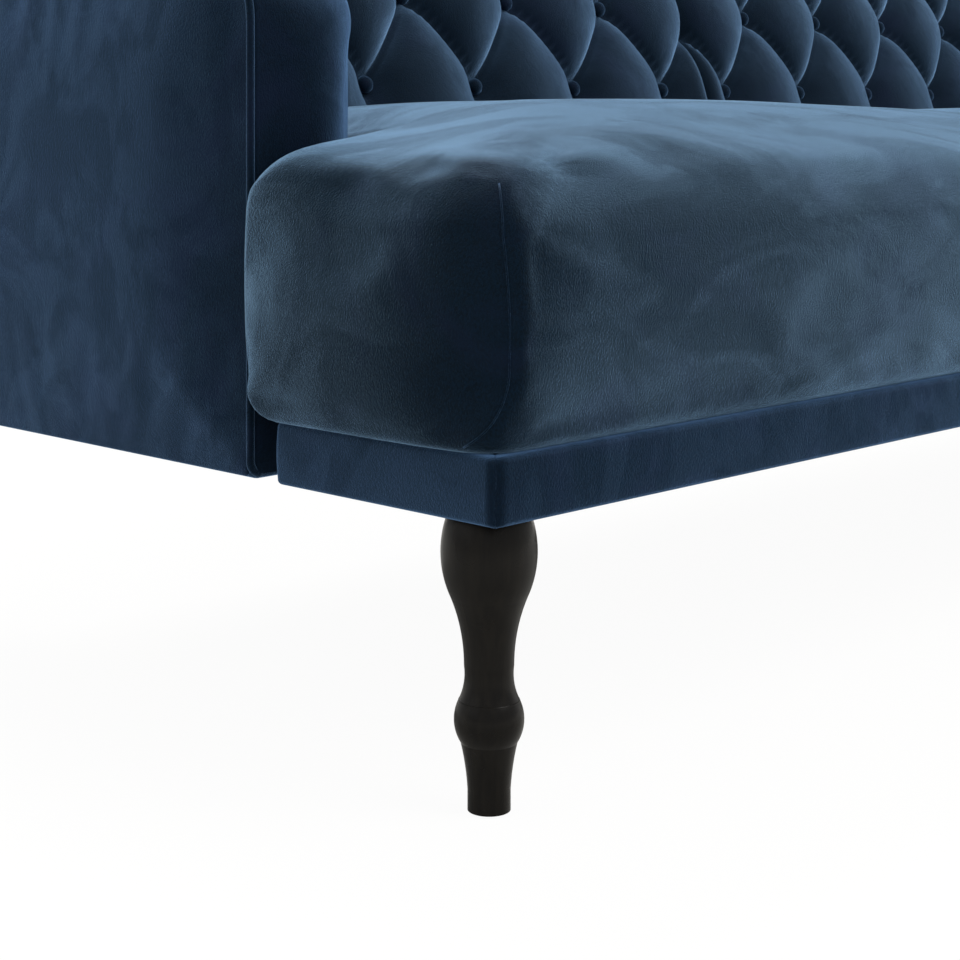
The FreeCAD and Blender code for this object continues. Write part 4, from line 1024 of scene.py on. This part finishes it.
TOP_ROW = FIRST_ROW + (TUFT_ROWS - 1) * ROW_PITCH
TUFT_STEPS = 12
TUFT_RISE = 32.0
TUFT_ROLL = 20.0
BULGE_FLATNESS = 2.2
BULGE_FULLNESS = 0.52
DIMPLE_DEPTH = 8.0
DIMPLE_REACH = 17.0
DIMPLE_LIMIT = 6.0
RIM_LINE = 2.0
WALL_STEPS = 8
PLEAT_NEAR = 0.01
# Radius and depth along a button, from its tip to its back
BUTTON_PROFILE = (
    (0.0, -7.4), (3.8, -6.9), (6.6, -5.2), (8.3, -2.9), (9.0, -0.6), (8.5, 1.4), (6.8, 2.6), (0.0, 3.0),
)
BUTTON_SIDES = 20
BUTTON_DEPTH = PAD_FACE + TUFT_RISE - 1.0
COVER_LEFT = 12.0
COVER_RIGHT = 788.0
COVER_LOW = 14.0
COVER_HIGH = 490.0
COVER_FRONT = -37.0
COVER_WRAP = -30
COVER_WRAP_STEPS = 6
COVER_BEND_STEPS = 7
COVER_BEND = -4
COVER_ROUND = 10
COVER_CROWN = 5
COVER_CORNER = 16
COVER_EDGE_COUNTS = (66, 4, 2, 36, 70, 36, 2, 4)
COVER_ARC = 7
COVER_SPACING = 16.0
COVER_MARGIN = 8.0
HINGE_NOTCH_WIDTH = 11.0
HINGE_NOTCH_TOP = 50.0
NOTCH_INNER_RADIUS = 5
NOTCH_OUTER_RADIUS = 8


def lean_back(points):
    points = np.asarray(points, float)
    x, y, z = points[:, 0], points[:, 1], points[:, 2]
    depth = y * math.cos(RECLINE) + z * math.sin(RECLINE) + PIVOT_DEPTH
    height = z * math.cos(RECLINE) - y * math.sin(RECLINE) + PIVOT_HEIGHT
    return np.column_stack([x, depth, height])


def bulge(share):
    """A pillow's rise from one pleat to the next, for a share from 0 to 1."""
    away = np.abs(2 * (share - np.floor(share)) - 1)
    return np.clip(1 - away ** BULGE_FLATNESS, 0, 1) ** BULGE_FULLNESS


def tuft_rise(x, z):
    """Height of the pillows above the pleats, from 0 to 1."""
    column = (x - FIRST_BUTTON) / BUTTON_PITCH
    row = (np.clip(z, FIRST_ROW, TOP_ROW) - FIRST_ROW) / (2 * ROW_PITCH)
    return bulge(column + row) * bulge(column - row)


def button_places():
    places = []
    for row in range(TUFT_ROWS):
        shift = 0.5 if row % 2 else 0.0
        for column in range(TUFT_COLUMNS):
            places.append((FIRST_BUTTON + (column + shift) * BUTTON_PITCH, FIRST_ROW + row * ROW_PITCH))
    return places


def pad_face(x, z):
    """Depth of the tufted face."""
    face = PAD_FACE + TUFT_RISE * (1 - tuft_rise(x, z))
    for place_x, place_z in button_places():
        away = np.hypot(x - place_x, z - place_z)
        face = face + np.minimum(DIMPLE_DEPTH * np.exp(-(away / DIMPLE_REACH) ** 2), DIMPLE_LIMIT)
    near = np.minimum(np.minimum(x - BACK_INNER, BACK_OUTER - x), np.minimum(z - BACK_LOW, BACK_HIGH - z))
    return face + round_in(near, TUFT_ROLL, TUFT_ROLL)


def grid_lines(low, high, start, step):
    """Lines of a grid through start, with both ends and a line close to each end."""
    first = math.ceil((low + step / 3 - start) / step)
    last = math.floor((high - step / 3 - start) / step)
    inner = [start + index * step for index in range(first, last + 1)]
    return [low, low + RIM_LINE] + inner + [high - RIM_LINE, high]


def pad_mesh():
    columns = grid_lines(BACK_INNER, BACK_OUTER, FIRST_BUTTON, BUTTON_PITCH / 2 / TUFT_STEPS)
    rows = grid_lines(BACK_LOW, BACK_HIGH, FIRST_ROW, ROW_PITCH / TUFT_STEPS)
    wide = len(columns)
    tall = len(rows)
    x, z = np.meshgrid(columns, rows)
    x = x.ravel()
    z = z.ravel()
    points = np.column_stack([x, pad_face(x, z), z])
    faces = []
    for row in range(tall - 1):
        for column in range(wide - 1):
            corner = row * wide + column
            quad = (corner, corner + 1, corner + wide + 1, corner + wide)
            middle_x = (columns[column] + columns[column + 1]) / 2
            middle_z = (rows[row] + rows[row + 1]) / 2
            faces += split_quad(quad, middle_x, middle_z)
    rim = list(range(wide))
    rim += [row * wide + wide - 1 for row in range(1, tall)]
    rim += [(tall - 1) * wide + column for column in range(wide - 2, -1, -1)]
    rim += [row * wide for row in range(tall - 2, 0, -1)]
    edge = points[rim]
    rings = []
    for share in np.linspace(0, 1, WALL_STEPS)[1:]:
        ring = edge.copy()
        ring[:, 1] = edge[:, 1] + share * (PAD_REAR - edge[:, 1])
        rings.append(ring)
    count = len(rim)
    offset = len(points)
    points = np.vstack([points] + rings)
    for index in range(count):
        after = (index + 1) % count
        faces.append((rim[after], rim[index], offset + index, offset + after))
    faces += flipped(ring_faces(count, len(rings), offset))
    inner, cap = fill(rings[-1][:, [0, 2]], HIDDEN_SPACING, HIDDEN_MARGIN)
    rear = np.column_stack([inner[:, 0], np.full(len(inner), PAD_REAR), inner[:, 1]])
    points, faces = add_cap(points, faces, len(points) - count, count, rear, cap, flip=True)
    return points, faces


def split_quad(quad, x, z):
    """Two triangles where a pleat crosses the quad, so that the pleat follows an edge."""
    if not FIRST_ROW < z < TOP_ROW:
        return [quad]
    column = (x - FIRST_BUTTON) / BUTTON_PITCH
    row = (z - FIRST_ROW) / (2 * ROW_PITCH)
    rising = column - row
    falling = column + row
    if abs(rising - round(rising)) < PLEAT_NEAR:
        return [(quad[0], quad[1], quad[2]), (quad[0], quad[2], quad[3])]
    if abs(falling - round(falling)) < PLEAT_NEAR:
        return [(quad[0], quad[1], quad[3]), (quad[1], quad[2], quad[3])]
    return [quad]


def button_mesh():
    """Covered domes in the pleats' crossings."""
    sides = BUTTON_SIDES
    rims = BUTTON_PROFILE[1:-1]
    points = []
    faces = []
    for x, z in button_places():
        offset = len(points)
        for radius, out in rims:
            for turn in np.linspace(0, 2 * math.pi, sides, endpoint=False):
                points.append((x + radius * math.cos(turn), BUTTON_DEPTH + out, z + radius * math.sin(turn)))
        faces += ring_faces(sides, len(rims), offset)
        tip = len(points)
        points.append((x, BUTTON_DEPTH + BUTTON_PROFILE[0][1], z))
        points.append((x, BUTTON_DEPTH + BUTTON_PROFILE[-1][1], z))
        last = offset + (len(rims) - 1) * sides
        for index in range(sides):
            after = (index + 1) % sides
            faces.append((offset + after, offset + index, tip))
            faces.append((last + index, last + after, tip + 1))
    return np.array(points), flipped(faces)


def cover_outline(inset):
    """The rear cover's outline, with a notch for a hinge at each low corner."""
    left = COVER_LEFT + inset
    right = COVER_RIGHT - inset
    inner_left = COVER_LEFT + HINGE_NOTCH_WIDTH + inset
    inner_right = COVER_RIGHT - HINGE_NOTCH_WIDTH - inset
    low = COVER_LOW + inset
    notch = HINGE_NOTCH_TOP + inset
    high = COVER_HIGH - inset
    corners = [
        (inner_left, low), (inner_right, low), (inner_right, notch), (right, notch),
        (right, high), (left, high), (left, notch), (inner_left, notch),
    ]
    outer = COVER_CORNER - inset / 2
    radii = [
        outer, outer, NOTCH_INNER_RADIUS, NOTCH_OUTER_RADIUS,
        outer, outer, NOTCH_OUTER_RADIUS, NOTCH_INNER_RADIUS,
    ]
    return rounded_outline(corners, radii, COVER_EDGE_COUNTS, COVER_ARC)


def cover_mesh():
    """The rear cover: a taut panel whose edges wrap forward round the frame."""
    levels = [(0.0, COVER_FRONT)]
    levels += [(0.0, y) for y in np.linspace(COVER_WRAP, COVER_BEND, COVER_WRAP_STEPS)]
    for turn in np.linspace(0, math.pi / 2, COVER_BEND_STEPS)[1:]:
        levels.append((COVER_ROUND * (1 - math.cos(turn)), COVER_BEND + COVER_ROUND * math.sin(turn)))
    rings = []
    for inset, y in levels:
        outline = cover_outline(inset)
        rings.append(np.column_stack([outline[:, 0], np.full(len(outline), y), outline[:, 1]]))
    points, faces, count = skin(rings)
    rim = rings[-1][:, [0, 2]]
    inner, cap = fill(rim, COVER_SPACING, COVER_MARGIN)
    crown = COVER_BEND + COVER_ROUND + COVER_CROWN * crown_share(inner, rim)
    rear = np.column_stack([inner[:, 0], crown, inner[:, 1]])
    points, faces = add_cap(points, faces, len(points) - count, count, rear, cap)
    inner, cap = fill(rings[0][:, [0, 2]], HIDDEN_SPACING, HIDDEN_MARGIN)
    front = np.column_stack([inner[:, 0], np.full(len(inner), COVER_FRONT), inner[:, 1]])
    points, faces = add_cap(points, faces, 0, count, front, cap, flip=True)
    return points, flipped(faces)


def add_backs(material, button_material):
    for side in ("right", "left"):
        body = "back_" + side
        pieces = [
            ("tufted_pad_" + side, pad_mesh(), "back_pad_" + side, 0.85, material),
            ("tuft_buttons_" + side, button_mesh(), "back_buttons_" + side, None, button_material),
            ("rear_panel_" + side, cover_mesh(), "back_cover_" + side, 0.95, material),
        ]
        for name, (points, faces), node, fullness, finish in pieces:
            points, faces = on_side(side, lean_back(points), faces)
            piece = make_piece(name, points, faces, body, finish, "velvet", [node])


# Cloth under the seat and behind the boards, built on the right and mirrored

DECK_SIDES = (22.5, 769.5)
DECK_DEPTHS = (12.5, 674.5)
DECK_HEIGHT = 242.5
BOARD_SIDES = (15.0, 784.0)
BOARD_HEIGHTS = (-69.0, 22.0)
BOARD_CLOTH_DEPTH = -30.6
WING_SIDES = (775.0, 918.4)
WING_DEPTHS = (11.6, 191.0)
WING_CLOTH_HEIGHT = BASE_TOP + 0.3
WING_TURN = 3.0
LINING_WIDE = 917.0
LINING_LEG = 860.0
LINING_NARROW = 799.0
LINING_FRONT = 13.0
LINING_WAIST = 192.0
LINING_REAR = 674.0
LINING_HEIGHT = 200.6
LINING_SAG = 2.5


def grid_mesh(columns, rows):
    """Places across and along a grid of lines, and its faces."""
    x, y = np.meshgrid(columns, rows)
    return x, y, ring_faces(len(columns), len(rows), closed=False)


def add_deck(material):
    """Cloth stretched over the straps, one sheet on each side of the centre rail."""
    x, y, faces = grid_mesh(np.linspace(*DECK_SIDES, 40), np.linspace(*DECK_DEPTHS, 36))
    points = np.column_stack([x.ravel(), y.ravel(), np.full(x.size, DECK_HEIGHT)])
    for side, replaced in (("right", ["seat_deck"]), ("left", [])):
        mesh = on_side(side, points, faces)
        piece = make_piece("deck_cloth_" + side, *mesh, "seat_base", material, "base_cloth", replaced)


def add_board_cloth(material):
    """Cloth over the rear of each backing board, from its low edge to the rail, between the hinges."""
    x, z, faces = grid_mesh(np.linspace(*BOARD_SIDES, 40), np.linspace(*BOARD_HEIGHTS, 8))
    points = lean_back(np.column_stack([x.ravel(), np.full(x.size, BOARD_CLOTH_DEPTH), z.ravel()]))
    for side in ("right", "left"):
        mesh = on_side(side, points, flipped(faces))
        piece = make_piece("board_cloth_" + side, *mesh, "back_" + side, material, "base_cloth")


def add_wing_cloth(material):
    """Cloth over the rails of each wing, which the seat's front corner rests on."""
    columns = list(np.linspace(*WING_SIDES, 14)) + [WING_SIDES[1]]
    rows = [WING_DEPTHS[0]] + list(np.linspace(*WING_DEPTHS, 16))
    x, y, faces = grid_mesh(columns, rows)
    z = np.full(x.shape, WING_CLOTH_HEIGHT)
    z[:, -1] -= WING_TURN
    z[0, :] = WING_CLOTH_HEIGHT - WING_TURN
    # The turned edges meet at the corner, so that its own point and quad fall away.
    corner = len(columns) - 1
    points = np.delete(np.column_stack([x.ravel(), y.ravel(), z.ravel()]), corner, axis=0)
    faces = [tuple(index - (index > corner) for index in face) for face in faces if corner not in face]
    for side in ("right", "left"):
        mesh = on_side(side, points, faces)
        piece = make_piece("wing_cloth_" + side, *mesh, "seat_base", material, "velvet")


def add_lining(material):
    """The T-shaped black cloth under the frame, a little slack between the rails."""
    middle = list(np.linspace(-LINING_NARROW, LINING_NARROW, 61))
    columns = [-LINING_WIDE, -LINING_LEG] + middle + [LINING_LEG, LINING_WIDE]
    rows = list(np.linspace(LINING_FRONT, LINING_WAIST, 9))
    rows += list(np.linspace(LINING_WAIST, LINING_REAR, 25))[1:]
    x, y, grid = grid_mesh(columns, rows)
    across = np.sin(math.pi * (x + LINING_WIDE) / (2 * LINING_WIDE))
    along = np.sin(math.pi * (y - LINING_FRONT) / (LINING_REAR - LINING_FRONT))
    z = LINING_HEIGHT - LINING_SAG * across * along
    points = np.column_stack([x.ravel(), y.ravel(), z.ravel()])
    faces = []
    for face in grid:
        place = points[list(face)].mean(0)
        if abs(place[0]) < LINING_NARROW or place[1] < LINING_WAIST:
            faces.append(tuple(reversed(face)))
    piece = make_piece("under_lining", points, faces, "seat_base", material, "base_cloth", ["dust_cover"])


# Turned legs

LEG_SIDE = 880.0
LEG_FRONT = 54.0
LEG_REAR = 736.0
LEG_LINE_HEIGHT = 72.2
LEG_LINE_RADIUS = 19.3
LEG_LINE_THICKNESS = 1.6
LEG_LINE_STEPS = 61
LEG_LINE_SIDES = 8


def add_leg_lines(material):
    """The raised line that a turner leaves above each leg's bead."""
    turns = np.linspace(0, 2 * math.pi, LEG_LINE_STEPS)
    ring = np.array([(LEG_LINE_RADIUS * math.cos(t), LEG_LINE_RADIUS * math.sin(t), 0) for t in turns])
    points = []
    faces = []
    for x in (-LEG_SIDE, LEG_SIDE):
        for y in (LEG_FRONT, LEG_REAR):
            path = ring + (x, y, LEG_LINE_HEIGHT)
            more, more_faces = tube_mesh(path, LEG_LINE_THICKNESS / 2, LEG_LINE_SIDES)
            faces += [tuple(len(points) + index for index in face) for face in more_faces]
            points += more.tolist()
    make_piece("leg_lines", np.array(points), faces, "seat_base", material, "black_wood")


# Stage

FLOOR_SIZE = 40.0
FLOOR_COLOUR = (0.87, 0.85, 0.80, 1)
FLOOR_GLOW_SHARE = 0.955
WORLD_LIGHT = 0.8
# Each lamp's name, place, aim, size and power
LAMPS = (
    ("key", (0.4, -2.9, 3.3), (0, 0, 0.4), 2.6, 120.0),
    ("fill", (-3.4, 0.6, 1.8), (-0.6, 0, 0.4), 2.4, 6.0),
    ("back", (0.3, 1.9, 3.4), (0, -0.1, 0.45), 2.0, 110.0),
)


def add_floor():
    bpy.ops.mesh.primitive_plane_add(size=FLOOR_SIZE, location=(0, 0, 0))
    floor = bpy.context.object
    floor.name = "floor"
    graph = Graph("floor_white")
    graph.set(Base_Color=FLOOR_COLOUR, Roughness=0.9)
    path = graph.add("ShaderNodeLightPath")
    glow = graph.add("ShaderNodeEmission")
    glow.inputs["Strength"].default_value = 1.0
    seen = graph.maths("MULTIPLY", path.outputs["Is Camera Ray"], FLOOR_GLOW_SHARE)
    join = graph.add("ShaderNodeMixShader")
    graph.put(join.inputs[0], seen)
    graph.join(graph.shader.outputs["BSDF"], join.inputs[1])
    graph.join(glow.outputs["Emission"], join.inputs[2])
    graph.join(join.outputs["Shader"], graph.output.inputs["Surface"])
    floor.data.materials.append(graph.material)


def add_world():
    world = bpy.data.worlds.new("studio")
    bpy.context.scene.world = world
    world.use_nodes = True
    tree = world.node_tree
    background = tree.nodes["Background"]
    path = tree.nodes.new("ShaderNodeLightPath")
    seen = tree.nodes.new("ShaderNodeMath")
    seen.operation = "MAXIMUM"
    tree.links.new(path.outputs["Is Camera Ray"], seen.inputs[0])
    tree.links.new(path.outputs["Is Glossy Ray"], seen.inputs[1])
    strength = tree.nodes.new("ShaderNodeMapRange")
    strength.inputs["To Min"].default_value = WORLD_LIGHT
    strength.inputs["To Max"].default_value = 1.0
    tree.links.new(seen.outputs[0], strength.inputs["Value"])
    tree.links.new(strength.outputs["Result"], background.inputs["Strength"])
    background.inputs["Color"].default_value = (1, 1, 1, 1)


def add_lamp(name, place, aim, size, power):
    lamp = bpy.data.lights.new(name, "AREA")
    lamp.shape = "RECTANGLE"
    lamp.size = size
    lamp.size_y = size
    lamp.energy = power
    holder = bpy.data.objects.new(name, lamp)
    bpy.context.scene.collection.objects.link(holder)
    holder.location = place
    holder.rotation_euler = (Vector(aim) - Vector(place)).to_track_quat("-Z", "Y").to_euler()


# Finishes of the nodes that stay

def finish_nodes(leg_wood):
    """Materials for the nodes that stay: wood, metal, straps and glides."""
    finishes = {
        "black_wood": leg_wood,
        "frame_wood": plain_wood("planed_softwood", (0.62, 0.44, 0.26, 1), (0.42, 0.27, 0.14, 1)),
        "plywood": plain_wood("thin_plywood", (0.66, 0.50, 0.31, 1), (0.50, 0.36, 0.20, 1)),
        "webbing": woven("elastic_webbing", (0.012, 0.012, 0.013, 1), (0.10, 0.10, 0.10, 1), 260.0),
        "black_steel": metal("powder_coat", (0.016, 0.016, 0.017, 1), (0.030, 0.030, 0.031, 1), 0.48, 0.0),
        "zinc_steel": metal("zinc_plate", (0.62, 0.62, 0.60, 1), (0.48, 0.48, 0.47, 1), 0.34, 1.0),
        "nylon": metal("moulded_nylon", (0.028, 0.028, 0.028, 1), (0.040, 0.040, 0.040, 1), 0.5, 0.0),
    }
    for entry in frame["record"]["subparts"]:
        finish = finishes.get(entry["material_slot"])
        if finish is None:
            continue
        node = frame["nodes"][entry["node"]]
        node.data.materials.clear()
        node.data.materials.append(finish)


add_camera()
bpy.context.scene.view_settings.view_transform = "Standard"
add_world()
add_floor()
for lamp in LAMPS:
    add_lamp(*lamp)

# The velvets: the colour that each shows at a grazing angle, and how far their brushed patches stretch

SEAT_TINT = (0.385, 0.66, 0.99, 1)
BODY_TINT = (0.15, 0.30, 0.57, 1)
# The border strips get a darker copy of the velvet: partly painted shade under the seat's overhang, partly a
# softer sheen that dims the strips' bright rims.
SHADED_BORDER_TINT = (0.14, 0.28, 0.53, 1)
ARM_TINT = (0.25, 0.50, 0.94, 1)
BACK_TINT = (0.34, 0.61, 1.0, 1)
# The cords, buttons and corner seams get darker copies of the velvet: painted shade that dims their sheen
# rims.
SHADED_SEWN_TINT = (0.13, 0.25, 0.44, 1)
SHADED_SEAM_TINT = (0.09, 0.17, 0.30, 1)
STREAKS = (5.0, 10.0, 11.0)
MOTTLES = (15.0, 13.0, 10.0)
seat_velvet = velvet("velvet_seat", STREAKS, SEAT_TINT, 0.04, 0.36, swept=0.06)
seam_velvet = velvet("velvet_seam", MOTTLES, SHADED_SEAM_TINT, 0.05, 0.44)
body_velvet = velvet("velvet_body", MOTTLES, BODY_TINT, 0.045, 0.44)
back_velvet = velvet("velvet_back", MOTTLES, BACK_TINT, 0.04, 0.44)
wing_velvet = velvet("velvet_wing", MOTTLES, SHADED_BORDER_TINT, 0.05, 0.48)
sewn_velvet = velvet("velvet_sewn", MOTTLES, SHADED_SEWN_TINT, 0.05, 0.42)
border_velvet = velvet("velvet_border", MOTTLES, SHADED_BORDER_TINT, 0.05, 0.45, -0.2)
arm_velvets = {
    "left": velvet("velvet_arm_left", MOTTLES, ARM_TINT, 0.05, 0.40, -0.6),
    "right": velvet("velvet_arm_right", MOTTLES, ARM_TINT, 0.05, 0.40, 0.6),
}
lining = woven("lining_cloth", (0.010, 0.010, 0.011, 1), (0.035, 0.035, 0.036, 1), 420.0)
add_seat(seat_velvet, seam_velvet)
add_border(border_velvet, wing_velvet)
add_arms(arm_velvets, body_velvet, sewn_velvet)
add_backs(back_velvet, sewn_velvet)
add_deck(lining)
add_board_cloth(lining)
add_wing_cloth(body_velvet)
add_lining(lining)
leg_wood = black_wood()
add_leg_lines(leg_wood)
finish_nodes(leg_wood)
